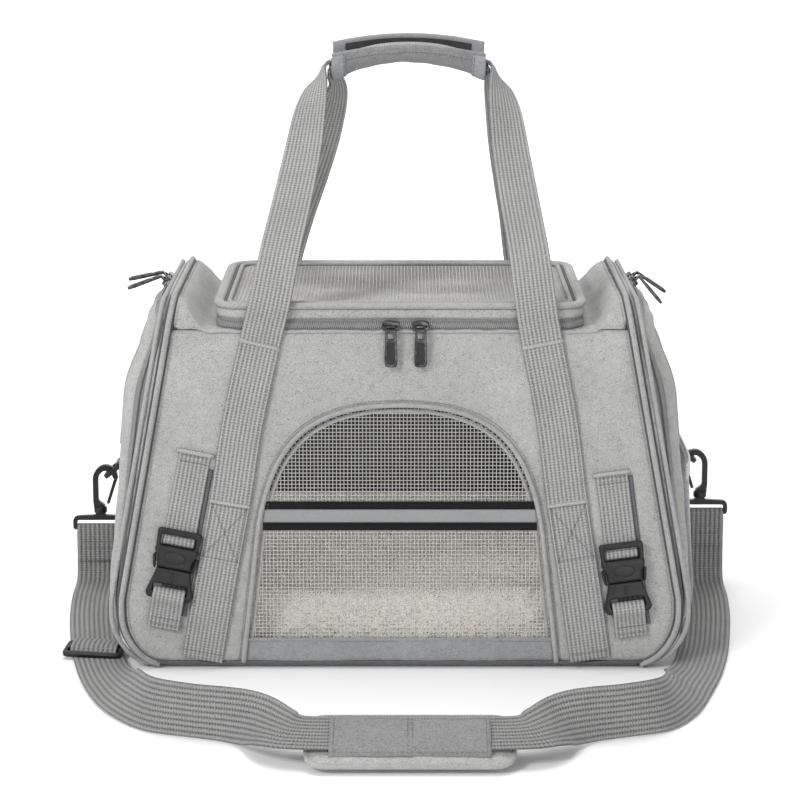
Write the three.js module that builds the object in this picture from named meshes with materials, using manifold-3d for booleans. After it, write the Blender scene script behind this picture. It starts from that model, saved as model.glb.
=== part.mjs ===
// A soft-sided pet carrier bag, in millimetres, +Z up.
// +X is to the right seen from the front, +Y is to the back, and the origin is the middle of the
// underside. The bag body is one thin lofted shell that is cut into its sewn panels. Everything
// else (lid, end doors, webbing, buckles, hooks, strap) is a piece of its own, fitted to that shell.
import * as THREE from 'three';
import { mergeVertices } from 'three/addons/utils/BufferGeometryUtils.js';
import Module from 'manifold-3d';

const wasm = await Module();
wasm.setup();

// ---------------------------------------------------------------- driving dimensions

const GAP = 0.3; // clearance between pieces that touch
const WALL = 3.5; // padded fabric wall
const HEIGHT = 288; // floor to the top of the end hoops
const BASE_HALF_DEPTH = 140;
const TOP_HALF_DEPTH = 112;
const SEAM_BASE_X = 218; // half length between the end piping lines, low down
const SEAM_TOP_X = 176; // and at the top
const SEAM_LEAN_FROM = 55; // height above which the piping lines lean inwards
const BASE_END_RADIUS = 45; // underside corners seen from the front
const BASE_SIDE_RADIUS = 12; // underside corners seen from the end
const TOP_SIDE_RADIUS = 24;
const TOP_END_RADIUS = 12;
const DOME_BASE = 6; // how far each end bulges past its piping line, low down
const DOME_TOP = 29; // and high up
const DOME_FULL_AT = 210;
const DOME_CREST = { from: 215, to: 280, by: 14 }; // how much it draws in again up there
const SADDLE_Z = 266; // top panel beside the lid, between the two raised end hoops
const SADDLE_FLAT_X = 150;
const SADDLE_RISE_X = 172;
const TOP_SEAM_Z = 262; // where the front and back panels meet the top panel
const BASE_SEAM_Z = 5;

const LID = { halfX: 144, front: -113, back: 104, bottom: 266.5, top: 286, corner: 26, wall: 3, rim: 14 };
const WINDOW = { footX: 124, kneeX: 110, kneeZ: 112, top: 207, bottom: 23 };
// The y limits of a door are shares of the half depth.
const DOOR = { front: -0.93, back: 0.7, bottom: 24, top: 282, corner: 30 };
const DOOR_WINDOW = { front: -78, back: 62, bottom: 165, top: 260, corner: 22 };
const POCKET = { front: -92, back: 76, bottom: 34, top: 150, corner: 12, standOff: 1.6, net: 1 };

// The mat's rear edge is turned up.
const MAT = { bottom: 9.6, top: 42, halfDepth: 113, rearFront: 91, rearHalfX: 158, rearTop: 90 };

const HANDLE_WEB = 32; // webbing widths
const BUCKLE_WEB = 25;
const STRAP_WEB = 40;
const WEB_THICK = 1.6;
const WRAP = { x: 7, halfLength: 61, z: 478, arch: 14, halfWidth: 20, drop: 13, wall: 3.5, flap: 10 };

const RING = { y: 109, halfWidth: 14, reach: 17, wire: 3.2 };
const HOOK_THICK = 5;
const PAD = { x: 7, y: -353, z: 14.4, halfLength: 75, width: 62, thick: 9, slope: 0.3 };

// ---------------------------------------------------------------- materials

function finish(color, roughness, metalness = 0) {
  return new THREE.MeshStandardMaterial({ color, roughness, metalness });
}

const heather = () => finish(0xc3c3c0, 0.95);
const band = () => finish(0x8f969d, 0.95);
const piping = () => finish(0xb4b4b1, 0.9);
const net = () => finish(0xc8c6be, 0.85);
const webbing = () => finish(0x969694, 0.85);
const plastic = () => finish(0x1a1a1b, 0.45);
const gunmetal = () => finish(0x4a4a4d, 0.35, 0.9);
const fleece = () => finish(0xebe6d7, 1);
const board = () => finish(0x3a3a3c, 0.8);
const reflector = () => finish(0x9a9da0, 0.4);

// ---------------------------------------------------------------- solids and booleans

/** A geometry as a manifold solid, with its shared vertices merged. */
function solid(geometry) {
  const bare = geometry.clone();
  bare.deleteAttribute('normal');
  bare.deleteAttribute('uv');
  const merged = mergeVertices(bare, 1e-4);
  const vertProperties = new Float32Array(merged.attributes.position.array);
  const triVerts = new Uint32Array(merged.index.array);
  return new wasm.Manifold(new wasm.Mesh({ numProp: 3, vertProperties, triVerts }));
}

/** A manifold solid as a geometry. */
function geometryOf(shape) {
  const mesh = shape.getMesh();
  const geometry = new THREE.BufferGeometry();
  const positions = new Float32Array((mesh.vertProperties.length / mesh.numProp) * 3);
  for (let i = 0; i < positions.length / 3; i += 1) {
    for (let k = 0; k < 3; k += 1) positions[3 * i + k] = mesh.vertProperties[i * mesh.numProp + k];
  }
  geometry.setAttribute('position', new THREE.BufferAttribute(positions, 3));
  geometry.setIndex([...mesh.triVerts]);
  geometry.computeVertexNormals();
  return geometry;
}

/** A closed body from vertices and triangles, turned so that its faces point out. */
function closedBody(points, triangles) {
  let volume = 0;
  for (const [a, b, c] of triangles) {
    volume += points[a].dot(new THREE.Vector3().crossVectors(points[b], points[c]));
  }
  const faces = volume < 0 ? triangles.map(([a, b, c]) => [a, c, b]) : triangles;
  const geometry = new THREE.BufferGeometry().setFromPoints(points);
  geometry.setIndex(faces.flat());
  geometry.computeVertexNormals();
  return geometry;
}

/** Joins rings of points, all of one length, into a closed body. Both ends are capped. */
function skin(rings, capTriangles) {
  const n = rings[0].length;
  const triangles = [];
  for (let r = 0; r + 1 < rings.length; r += 1) {
    for (let i = 0; i < n; i += 1) {
      const j = (i + 1) % n;
      const low = r * n;
      const high = low + n;
      triangles.push([low + i, low + j, high + j], [low + i, high + j, high + i]);
    }
  }
  const last = (rings.length - 1) * n;
  for (const [a, b, c] of capTriangles) {
    triangles.push([a, c, b], [last + a, last + b, last + c]);
  }
  return closedBody(rings.flat(), triangles);
}

/** Sweeps a profile (a list of Vector2) through frames { o, a, b }: a and b carry its two axes. */
function sweep(profile, frames) {
  const cap = THREE.ShapeUtils.triangulateShape(profile, []);
  const rings = frames.map(({ o, a, b }) =>
    profile.map((p) => o.clone().addScaledVector(a, p.x).addScaledVector(b, p.y)),
  );
  return skin(rings, cap);
}

/**
 * A flat strap. Its stations { at, across, pinch } give its middle, its width's direction, and the
 * share of its width that it is pinched to.
 */
function strap(stations, width, thick = WEB_THICK) {
  const w = width / 2;
  const t = thick / 2;
  const profile = [[-w, -t], [w, -t], [w, t], [-w, t]].map(([x, y]) => new THREE.Vector2(x, y));
  const middles = stations.map((s) => new THREE.Vector3(...s.at));
  const frames = stations.map((s, i) => {
    const before = middles[Math.max(i - 1, 0)];
    const after = middles[Math.min(i + 1, middles.length - 1)];
    const along = after.clone().sub(before).normalize();
    const a = new THREE.Vector3(...s.across);
    a.addScaledVector(along, -a.dot(along)).normalize();
    const b = new THREE.Vector3().crossVectors(along, a);
    return { o: middles[i], a: a.multiplyScalar(s.pinch ?? 1), b };
  });
  return sweep(profile, frames);
}

/** A round cord along points, as an open curve with both ends closed. */
function cord(points, radius, steps) {
  const sides = 6;
  const ring = Array.from({ length: sides }, (_, i) => {
    const angle = (2 * Math.PI * i) / sides;
    return new THREE.Vector2(radius * Math.cos(angle), radius * Math.sin(angle));
  });
  const extrudePath = new THREE.CatmullRomCurve3(points);
  return new THREE.ExtrudeGeometry(new THREE.Shape(ring), { steps, extrudePath, bevelEnabled: false });
}

/** An outline through points [x, y, radius]. A radius shrinks to fit in half of each side it meets. */
function outline(corners, Kind = THREE.Shape) {
  const shape = new Kind();
  const at = (i) => {
    const [x, y] = corners[(i + corners.length) % corners.length];
    return new THREE.Vector2(x, y);
  };
  corners.forEach(([x, y, radius = 0], i) => {
    const here = at(i);
    const before = at(i - 1).sub(here);
    const after = at(i + 1).sub(here);
    const round = Math.min(radius, 0.49 * before.length(), 0.49 * after.length());
    const start = here.clone().add(before.setLength(round));
    if (i === 0) shape.moveTo(start.x, start.y);
    else shape.lineTo(start.x, start.y);
    if (round > 0) {
      const end = here.clone().add(after.setLength(round));
      shape.quadraticCurveTo(x, y, end.x, end.y);
    }
  });
  shape.closePath();
  return shape;
}

/** A rectangle with round corners. */
function roundedBox(left, right, low, high, radius, Kind = THREE.Shape) {
  const corners = [[left, low], [right, low], [right, high], [left, high]];
  return outline(corners.map((corner) => [...corner, radius]), Kind);
}

const ALONG_X = new THREE.Matrix4().makeBasis(
  new THREE.Vector3(0, 1, 0),
  new THREE.Vector3(0, 0, 1),
  new THREE.Vector3(1, 0, 0),
);
const ALONG_Y = new THREE.Matrix4().makeBasis(
  new THREE.Vector3(1, 0, 0),
  new THREE.Vector3(0, 0, 1),
  new THREE.Vector3(0, -1, 0),
);

/** An outline drawn in X and Y, extruded upwards from low to high. */
function plate(shape, low, high, curveSegments = 5) {
  const geometry = new THREE.ExtrudeGeometry(shape, {
    depth: high - low,
    bevelEnabled: false,
    curveSegments,
  });
  return geometry.translate(0, 0, low);
}

/** An outline drawn in X and Z, extruded from y = front to y = back. */
function prismY(shape, front, back, curveSegments = 5) {
  const geometry = plate(shape, 0, back - front, curveSegments);
  return geometry.applyMatrix4(ALONG_Y).translate(0, back, 0);
}

/** An outline drawn in Y and Z, extruded from x = left to x = right. */
function prismX(shape, left, right, curveSegments = 5) {
  return plate(shape, 0, right - left, curveSegments).applyMatrix4(ALONG_X).translate(left, 0, 0);
}

function block(left, right, front, back, low, high) {
  const geometry = new THREE.BoxGeometry(right - left, back - front, high - low);
  return geometry.translate((left + right) / 2, (front + back) / 2, (low + high) / 2);
}

// ---------------------------------------------------------------- the shape of the bag body

/** How far a round edge of this radius has pulled in, at a depth inside it. */
function roundOff(depth, radius) {
  if (depth <= 0) return 0;
  return radius - Math.sqrt(Math.max(radius * radius - depth * depth, 0));
}

/** Half the distance between the two end piping lines at this height. */
function seamX(z) {
  const lean = Math.max(z - SEAM_LEAN_FROM, 0) / (HEIGHT - SEAM_LEAN_FROM);
  const straight = SEAM_BASE_X - (SEAM_BASE_X - SEAM_TOP_X) * lean;
  return straight - roundOff(BASE_END_RADIUS - z, BASE_END_RADIUS);
}

/** How far the end panel domes past its piping line. */
function domeDepth(z) {
  const full = DOME_BASE + (DOME_TOP - DOME_BASE) * Math.min(z / DOME_FULL_AT, 1);
  const crest = DOME_CREST.by * THREE.MathUtils.smoothstep(z, DOME_CREST.from, DOME_CREST.to);
  return full - crest - roundOff(z - (HEIGHT - TOP_END_RADIUS), TOP_END_RADIUS);
}

/** Half the bag's depth at this height. */
function halfDepth(z) {
  const straight = BASE_HALF_DEPTH - ((BASE_HALF_DEPTH - TOP_HALF_DEPTH) * z) / HEIGHT;
  const top = roundOff(z - (HEIGHT - TOP_SIDE_RADIUS), TOP_SIDE_RADIUS);
  return straight - top - roundOff(BASE_SIDE_RADIUS - z, BASE_SIDE_RADIUS);
}

const CAP_STEPS = 10;
const LEVELS = [0, 2, 5, 10, 18, 30, 45, 75, 110, 150, 185, 215, 245, 262, 270, 277, 283, 286.5, 288];

/** The horizontal section at a height: two straight sides and two domed ends. */
function section(z, inset) {
  const ring = [];
  for (const side of [1, -1]) {
    for (let i = 0; i <= CAP_STEPS; i += 1) {
      const turn = side * (-Math.PI / 2 + (Math.PI * i) / CAP_STEPS);
      const sine = Math.sin(turn);
      const x = side * (seamX(z) + (domeDepth(z) - inset) * Math.cos(turn));
      const y = (halfDepth(z) - inset) * Math.sign(sine) * Math.sqrt(Math.abs(sine));
      ring.push(new THREE.Vector3(x, y, z));
    }
  }
  return ring;
}

/** The solid body inside the bag's outer surface moved in by inset (out, if it is negative). */
function loft(inset) {
  const low = Math.max(inset, 0);
  const high = HEIGHT - low;
  const heights = [low, ...LEVELS.filter((z) => z > low + 0.5 && z < high - 0.5), high];
  const rings = heights.map((z) => section(z, inset));
  const n = rings[0].length;
  const fan = Array.from({ length: n - 2 }, (_, i) => [0, i + 1, i + 2]);
  return solid(skin(rings, fan));
}

/** What is cut off above the top panel, between the two end hoops. */
function saddleCut(drop) {
  const high = HEIGHT + 20;
  const shape = new THREE.Shape();
  shape.moveTo(-SADDLE_RISE_X, high);
  for (const [side, from, to] of [[-1, SADDLE_RISE_X, SADDLE_FLAT_X], [1, SADDLE_FLAT_X, SADDLE_RISE_X]]) {
    const startZ = side < 0 ? HEIGHT : SADDLE_Z;
    const endZ = side < 0 ? SADDLE_Z : HEIGHT;
    const middle = side * (from + to) * 0.5;
    shape.lineTo(side * from, startZ - drop);
    shape.bezierCurveTo(middle, startZ - drop, middle, endZ - drop, side * to, endZ - drop);
  }
  shape.lineTo(SADDLE_RISE_X, high);
  return solid(prismY(shape, -200, 200, 6));
}

/** The region between the two end piping lines, drawn in X and Z. */
function betweenSeams(clearance) {
  const right = [...LEVELS, HEIGHT + 10].map((z) => [seamX(Math.min(z, HEIGHT)) - clearance, z]);
  const left = right.map(([x, z]) => [-x, z]).reverse();
  return solid(prismY(outline([...right, ...left]), -200, 200));
}

const outer = loft(0).subtract(saddleCut(0));
const inner = loft(WALL).subtract(saddleCut(WALL));
const shell = outer.subtract(inner);
const netShell = loft(1.2).subtract(loft(2.4));
const middleRegion = betweenSeams(GAP / 2);
const middleShell = shell.intersect(middleRegion);
const endShell = shell.subtract(betweenSeams(-GAP / 2));

// ---------------------------------------------------------------- the assembly

const bag = new THREE.Group();
bag.name = 'pet_carrier';

/** Adds one named piece, made of a geometry or a manifold solid. */
function add(name, shape, material, parent = bag) {
  const geometry = shape.isBufferGeometry ? shape : geometryOf(shape);
  const mesh = new THREE.Mesh(geometry, material);
  mesh.name = name;
  parent.add(mesh);
  return mesh;
}

/** The half space box used to keep one part of the shell. */
function keep(low, high, front = -200, back = 200, left = -300, right = 300) {
  return solid(block(left, right, front, back, low, high));
}

/** The arched window of the front panel, grown by a margin. Its feet run on below the net. */
function arch(margin) {
  const bottom = -10;
  const foot = WINDOW.footX + margin;
  const knee = WINDOW.kneeX + margin;
  const top = WINDOW.top + margin;
  const shape = new THREE.Shape();
  shape.moveTo(-foot, bottom);
  shape.lineTo(-knee, WINDOW.kneeZ);
  shape.bezierCurveTo(-knee * 0.9, top - 30, -knee * 0.66, top, 0, top);
  shape.bezierCurveTo(knee * 0.66, top, knee * 0.9, top - 30, knee, WINDOW.kneeZ);
  shape.lineTo(foot, bottom);
  return shape;
}

function addPanels() {
  const lidHole = solid(plate(roundedBox(-138, 138, -106, 98, 22), 240, 320));
  add('base_panel', shell.intersect(keep(-1, BASE_SEAM_Z)), band());
  add('top_panel', middleShell.intersect(keep(TOP_SEAM_Z + GAP, 320)).subtract(lidHole), heather());
  const wall = middleShell.intersect(keep(BASE_SEAM_Z + GAP, TOP_SEAM_Z));
  const hole = solid(prismY(arch(0), -200, -20, 8)).intersect(keep(WINDOW.bottom - GAP, 320));
  const netRegion = solid(prismY(arch(-GAP), -200, -20, 8)).intersect(keep(WINDOW.bottom, 320));
  add('front_panel', wall.intersect(keep(0, 320, -200, -20)).subtract(hole), heather());
  add('back_panel', wall.intersect(keep(0, 320, 20, 200)), heather());
  add('front_window_net', netShell.intersect(netRegion), net());
}

/** An outline on the end panels, in Y and Z, between shares of the half depth. */
function doorOutline(margin) {
  const { bottom, top, corner } = DOOR;
  const low = bottom - margin;
  const high = top + margin;
  const straight = (z) => halfDepth(Math.min(z, HEIGHT - TOP_SIDE_RADIUS));
  const at = (share, z) => share * straight(z) + Math.sign(share) * margin;
  return outline([
    [at(DOOR.front, bottom), low, 8],
    [at(DOOR.back, bottom), low, 8],
    [at(DOOR.back, top), high, corner],
    [at(DOOR.front, top), high, corner],
  ]);
}

function addEnds() {
  const doorHole = solid(prismX(doorOutline(0), -300, 300));
  const doorShell = endShell.intersect(solid(prismX(doorOutline(-GAP), -300, 300)));
  const view = DOOR_WINDOW;
  const window = (margin) =>
    solid(
      prismX(
        roundedBox(
          view.front - margin, view.back + margin, view.bottom - margin, view.top + margin, view.corner,
        ),
        -300,
        300,
      ),
    );
  for (const [side, left, right] of [['left', -300, -150], ['right', 150, 300]]) {
    const half = keep(BASE_SEAM_Z + GAP, 320, -200, 200, left, right);
    add(`${side}_end_frame`, endShell.intersect(half).subtract(doorHole), heather());
    add(`${side}_door`, doorShell.intersect(half).subtract(window(0)), heather());
    add(`${side}_door_net`, netShell.intersect(window(-GAP)).intersect(half), net());
  }
  const sheet = loft(-POCKET.standOff - POCKET.net).subtract(loft(-POCKET.standOff));
  const face = roundedBox(POCKET.front, POCKET.back, POCKET.bottom, POCKET.top, POCKET.corner);
  add('net_pocket', sheet.intersect(solid(prismX(face, 150, 300))), net());
}

/** The piping that goes up the front, over the top and down the back at x = side * seamX. */
function addPiping() {
  const radius = 2;
  const away = radius + 1.2;
  const climb = [4, 10, 18, 30, 45, 80, 120, 160, 200, 235, HEIGHT - TOP_SIDE_RADIUS];
  const bends = [0.3, 0.6, 0.9, 1.2, Math.PI / 2];
  const shoulder = halfDepth(HEIGHT - TOP_SIDE_RADIUS) - TOP_SIDE_RADIUS;
  for (const [name, side] of [['left_piping', -1], ['right_piping', 1]]) {
    const rise = climb.map((z) => new THREE.Vector3(side * seamX(z), -halfDepth(z) - away, z));
    const bend = bends.map((angle) => {
      const y = -shoulder - (TOP_SIDE_RADIUS + away) * Math.cos(angle);
      const z = HEIGHT - TOP_SIDE_RADIUS + (TOP_SIDE_RADIUS + away) * Math.sin(angle);
      return new THREE.Vector3(side * seamX(Math.min(z, HEIGHT)), y, z);
    });
    const top = [-45, 0, 45].map((y) => new THREE.Vector3(side * SEAM_TOP_X, y, HEIGHT + away));
    const front = [...rise, ...bend];
    const back = front.map((p) => new THREE.Vector3(p.x, -p.y, p.z)).reverse();
    add(name, cord([...front, ...top, ...back], radius, 46), piping());
  }
}

function addInside() {
  add('base_board', plate(roundedBox(-172, 172, -118, 118, 24), 4.2, 9.2), board());
  const flat = solid(plate(roundedBox(-170, 170, -MAT.halfDepth, MAT.halfDepth, 26), MAT.bottom, MAT.top));
  const rear = roundedBox(-MAT.rearHalfX, MAT.rearHalfX, MAT.rearFront, MAT.halfDepth - 1, 8);
  add('fleece_mat', flat.add(solid(plate(rear, MAT.bottom + 10, MAT.rearTop))), fleece());
}

function addLid() {
  const { halfX, front, back, corner, wall, rim } = LID;
  const loop = (inset) => roundedBox(-halfX + inset, halfX - inset, front + inset, back - inset, corner);
  const cap = solid(plate(loop(0), LID.bottom, LID.top));
  const hollow = solid(plate(loop(wall), LID.bottom - 1, LID.top - wall));
  const view = solid(plate(loop(rim), LID.bottom, LID.top + 1));
  add('lid_frame', cap.subtract(hollow).subtract(view), heather());
  add('lid_net', plate(loop(rim + GAP), LID.top - 2.6, LID.top - 1.4), net());
}

// ---------------------------------------------------------------- pieces lying on the front panel

const LEAN = Math.atan((BASE_HALF_DEPTH - TOP_HALF_DEPTH) / HEIGHT);

/** A group on the front panel: its x is right, y is up the panel and z is out of it, turned by tilt. */
function onFront(x, z, tilt) {
  const group = new THREE.Group();
  const right = new THREE.Vector3(1, 0, 0);
  const up = new THREE.Vector3(0, Math.sin(LEAN), Math.cos(LEAN));
  const out = new THREE.Vector3().crossVectors(right, up);
  group.applyMatrix4(new THREE.Matrix4().makeBasis(right, up, out));
  group.rotateZ(tilt);
  group.position.set(x, -halfDepth(z), z);
  bag.add(group);
  return group;
}

function addReflectiveStrip() {
  const group = onFront(0, 121, 0);
  add('reflective_strip', block(-104, 104, -10, 10, -1, -0.4), reflector(), group);
}

const BUCKLES = [
  { side: 'left', x: -177, z: 78, tilt: -0.19, above: 95, below: -46 },
  { side: 'right', x: 176, z: 68, tilt: 0.13, above: 88, below: -42 },
];

/** A side-release buckle: the upper half has the ladder lock, the lower half has the two arms. */
function addBuckles() {
  for (const { side, x, z, tilt, above, below } of BUCKLES) {
    const group = onFront(x, z, tilt);
    const low = 1;
    const high = 9;
    const body = outline([[-16, 4, 2], [16, 4, 2], [17, 14, 3], [17, 33, 2], [-17, 33, 2], [-17, 14, 3]]);
    body.holes.push(roundedBox(-13.5, 13.5, 20, 27, 1, THREE.Path));
    const pocket = solid(block(-14, 14, 3, 16, low + 1.6, high - 1.6));
    const sideDoors = solid(block(-20, 20, 6, 12, low + 2, high - 2));
    const lock = solid(plate(body, low, high, 3)).subtract(pocket).subtract(sideDoors);
    add(`${side}_buckle_lock`, lock, plastic(), group);
    const foot = outline([
      [-12, 3.4, 1], [12, 3.4, 1], [18, -20, 2], [15, -22, 1], [-15, -22, 1], [-18, -20, 2],
    ]);
    foot.holes.push(roundedBox(-13.2, 13.2, -18, -11, 1, THREE.Path));
    const arms = [-1, 1].map((s) => solid(block(s * 10 - 2.4, s * 10 + 2.4, 2, 14, low + 2.4, high - 2.4)));
    const tongue = solid(plate(foot, low, high, 3)).add(arms[0]).add(arms[1]);
    add(`${side}_buckle_tongue`, tongue, plastic(), group);
    const upper = [
      { at: [0, above, 1.2], across: [1, 0, 0] },
      { at: [0, above - 12, 1.2], across: [1, 0, 0] },
      { at: [0, 42, 1.6], across: [1, 0, 0] },
      { at: [0, 35.5, 4], across: [1, 0, 0] },
    ];
    const lower = [
      { at: [0, below, 1.2], across: [1, 0, 0] },
      { at: [0, below + 12, 1.6], across: [1, 0, 0] },
      { at: [0, -23.4, 4], across: [1, 0, 0] },
    ];
    add(`${side}_upper_web`, strap(upper, BUCKLE_WEB), webbing(), group);
    add(`${side}_lower_web`, strap(lower, BUCKLE_WEB), webbing(), group);
  }
}

// ---------------------------------------------------------------- handles

const HANDLE_FOLD_Z = 262; // the handle is sewn down below here, and folds away above it

/**
 * Half of the front handle, from its foot on the panel to the middle of the grip, on the left side.
 * The webbing faces forwards on the panel, and turns edge on before it bends into the grip.
 */
const HANDLE_HALF = [
  { x: -155, z: 8, turn: 0 },
  { x: -144, z: 70, turn: 0 },
  { x: -133, z: 128, turn: 0 },
  { x: -122, z: 195, turn: 0 },
  { x: -107, z: HANDLE_FOLD_Z, turn: 0 },
  { x: -101, y: -118, z: 290, turn: 0 },
  { x: -95, y: -97, z: 325, turn: 0.1 },
  { x: -88, y: -68, z: 358, turn: 0.25 },
  { x: -81, y: -38, z: 394, turn: 0.5 },
  { x: -76, y: -20, z: 425, turn: 1 },
  { x: -72, y: -9, z: 442, turn: 1.4 },
  { x: -68, y: -3, z: 454, turn: Math.PI / 2 },
  { x: -62, y: 0, z: 461, turn: Math.PI / 2 },
  { x: -54, y: 0, z: 464.6, turn: Math.PI / 2 },
  { x: -38, y: 0, z: 470, turn: Math.PI / 2 },
  { x: -20, y: 0, z: 474, turn: Math.PI / 2 },
];
const HANDLE_FOOT_SHIFT = -6; // the right foot is this much off the left one's mirror image
const HANDLE_TOP_SHIFT = 2;
const HANDLE_STAND_OFF = 1.8;
const GRIP_PINCH = 0.8; // the webbing narrows where the grip squeezes it

/** One handle loop. side is -1 at the front and 1 at the back, and lift stacks the two in the grip. */
function handleStations(side, lift) {
  const half = HANDLE_HALF.map(({ x, y, z, turn }) => {
    const out = y === undefined ? halfDepth(z) + HANDLE_STAND_OFF : -y;
    const grip = Math.max((z - TOP_SEAM_Z) / (WRAP.z - TOP_SEAM_Z), 0);
    return { x, out, z, turn, grip, aside: lift * Math.sin(turn) };
  });
  const station = ({ x, out, z, turn, grip, aside }, s) => {
    const rightShift = THREE.MathUtils.lerp(HANDLE_FOOT_SHIFT, HANDLE_TOP_SHIFT, z / TOP_SEAM_Z);
    const shift = s > 0 ? rightShift * (1 - grip) : 0;
    return {
      at: [s * (aside - x) + shift + WRAP.x * grip, side * out, z + aside],
      across: [Math.cos(turn), side * -s * Math.sin(turn), 0],
      pinch: THREE.MathUtils.lerp(1, GRIP_PINCH, turn / (Math.PI / 2)),
    };
  };
  const left = half.map((p) => station(p, -1));
  const right = half.map((p) => station(p, 1)).reverse();
  const middle = { at: [WRAP.x, 0, WRAP.z - 2.6 + lift], across: [0, side, 0], pinch: GRIP_PINCH };
  const flipped = right.map(({ at, across, pinch }) => ({ at, across: across.map((v) => -v), pinch }));
  return [...left, middle, ...flipped];
}

/** Each handle is a loop that folds, and two feet of the same webbing sewn to the panel. */
function addHandles() {
  const footTop = HANDLE_FOLD_Z - 2;
  for (const [place, side, lift] of [['front', -1, 4], ['back', 1, -1.2]]) {
    const stations = handleStations(side, lift);
    add(`${place}_handle`, strap(stations.filter(({ at }) => at[2] >= HANDLE_FOLD_Z), HANDLE_WEB), webbing());
    for (const [name, sign] of [['left', -1], ['right', 1]]) {
      const low = stations.filter(({ at }) => at[2] < footTop && at[0] * sign > 0);
      const fold = stations.find(({ at }) => at[2] === HANDLE_FOLD_Z && at[0] * sign > 0);
      const top = { ...fold, at: [fold.at[0], side * (halfDepth(footTop) + HANDLE_STAND_OFF), footTop] };
      const foot = sign < 0 ? [...low, top] : [top, ...low];
      add(`${place}_${name}_handle_foot`, strap(foot, HANDLE_WEB), webbing());
    }
  }
}

/** The padded grip: an oval trough that opens upwards, with a flap that stands up from its back edge. */
function addWrap() {
  const { halfWidth, drop, wall, flap } = WRAP;
  const halfOval = (a, b, from, steps) =>
    Array.from({ length: steps + 1 }, (_, i) => {
      const angle = Math.PI + (Math.PI * (from ? steps - i : i)) / steps;
      return new THREE.Vector2(a * Math.cos(angle), b * Math.sin(angle));
    });
  const flapEnd = [new THREE.Vector2(halfWidth, flap), new THREE.Vector2(halfWidth - wall, flap)];
  const trough = [
    ...halfOval(halfWidth, drop, false, 10),
    ...flapEnd,
    ...halfOval(halfWidth - wall, drop - wall, true, 8),
  ];
  const frames = Array.from({ length: 9 }, (_, i) => {
    const t = -1 + (2 * i) / 8;
    const o = new THREE.Vector3(WRAP.x + t * WRAP.halfLength, 0, WRAP.z - WRAP.arch * t * t);
    return { o, a: new THREE.Vector3(0, 1, 0), b: new THREE.Vector3(0, 0, 1) };
  });
  add('grip_wrap', sweep(trough, frames), heather());
}

// ---------------------------------------------------------------- zip sliders and pulls

/** A slider body, drawn with the zip running along its x and its z pointing out of the cloth. */
function sliderBody() {
  return plate(outline([[-6, -4.2, 1.5], [6, -3.2, 1.5], [6, 3.2, 1.5], [-6, 4.2, 1.5]]), 0, 5, 3);
}

/** A pull tab hanging along -y from its eye at the origin, with a slot under the eye. */
function pullTab(length) {
  const shape = outline([
    [-4, 1.6, 1], [4, 1.6, 1], [4.7, -length + 4, 1], [4.2, -length, 3], [-4.2, -length, 3],
    [-4.7, -length + 4, 1],
  ]);
  shape.holes.push(roundedBox(-2.2, 2.2, -6, -1.4, 0.8, THREE.Path));
  return plate(shape, -1.1, 1.1, 3);
}

function addLidZip() {
  for (const [name, x, face] of [['lid_left', -7, -1], ['lid_right', 16, 1]]) {
    const group = new THREE.Group();
    group.position.set(x, -116.2, 269.5);
    group.rotation.x = Math.PI / 2;
    bag.add(group);
    const body = add(`${name}_slider`, sliderBody(), gunmetal(), group);
    body.scale.x = face;
    const tab = add(`${name}_pull`, pullTab(28), gunmetal(), group);
    tab.position.set(0, -7, 6.5);
  }
}

const END_ZIP = { x: 188.6, z: 287.2, lie: 0.7 };
const END_SLIDERS = [
  { side: 'left', sign: -1, y: -11, place: 'front', droop: 0.35 },
  { side: 'left', sign: -1, y: 9, place: 'back', droop: 0.2 },
  { side: 'right', sign: 1, y: -11, place: 'front', droop: 0.87 },
  { side: 'right', sign: 1, y: 9, place: 'back', droop: 0.6 },
];

function addEndZips() {
  for (const { side, sign, y, place, droop } of END_SLIDERS) {
    const slider = new THREE.Group();
    const out = new THREE.Vector3(sign * Math.cos(END_ZIP.lie), 0, Math.sin(END_ZIP.lie));
    const along = new THREE.Vector3(0, sign, 0);
    const across = new THREE.Vector3().crossVectors(out, along);
    slider.applyMatrix4(new THREE.Matrix4().makeBasis(along, across, out));
    slider.position.set(sign * END_ZIP.x, y, END_ZIP.z);
    bag.add(slider);
    add(`${side}_${place}_slider`, sliderBody(), gunmetal(), slider);
    const pull = new THREE.Group();
    const tabOut = new THREE.Vector3(sign * Math.cos(droop), 0, -Math.sin(droop));
    const flat = new THREE.Vector3().crossVectors(along, tabOut.clone().negate());
    pull.applyMatrix4(new THREE.Matrix4().makeBasis(along, tabOut.clone().negate(), flat));
    pull.position.copy(slider.position).addScaledVector(out, 7.2).addScaledVector(tabOut, 1);
    bag.add(pull);
    add(`${side}_${place}_pull`, pullTab(28), gunmetal(), pull);
  }
}

// ---------------------------------------------------------------- rings, hooks and shoulder strap

const SIDES = [
  { side: 'left', sign: -1, z: 107 },
  { side: 'right', sign: 1, z: 121 },
];
const RING_X = 243; // the straight bar of each ring
const RING_DROOP = 0.7;
const STRAP_X = 261;
const HOOK_DROP = 51; // from the ring's bar down to the strap's eye

function addHardware() {
  for (const { side, sign, z } of SIDES) {
    const tab = [
      { at: [sign * 223.8, RING.y, z + 3], across: [0, 1, 0] },
      { at: [sign * 231, RING.y, z + 2.2], across: [0, 1, 0] },
      { at: [sign * 239.5, RING.y, z], across: [0, 1, 0] },
    ];
    add(`${side}_ring_tab`, strap(tab, BUCKLE_WEB, 3), webbing());
    addRing(side, sign, z);
    addHook(side, sign, z);
  }
}

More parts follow.
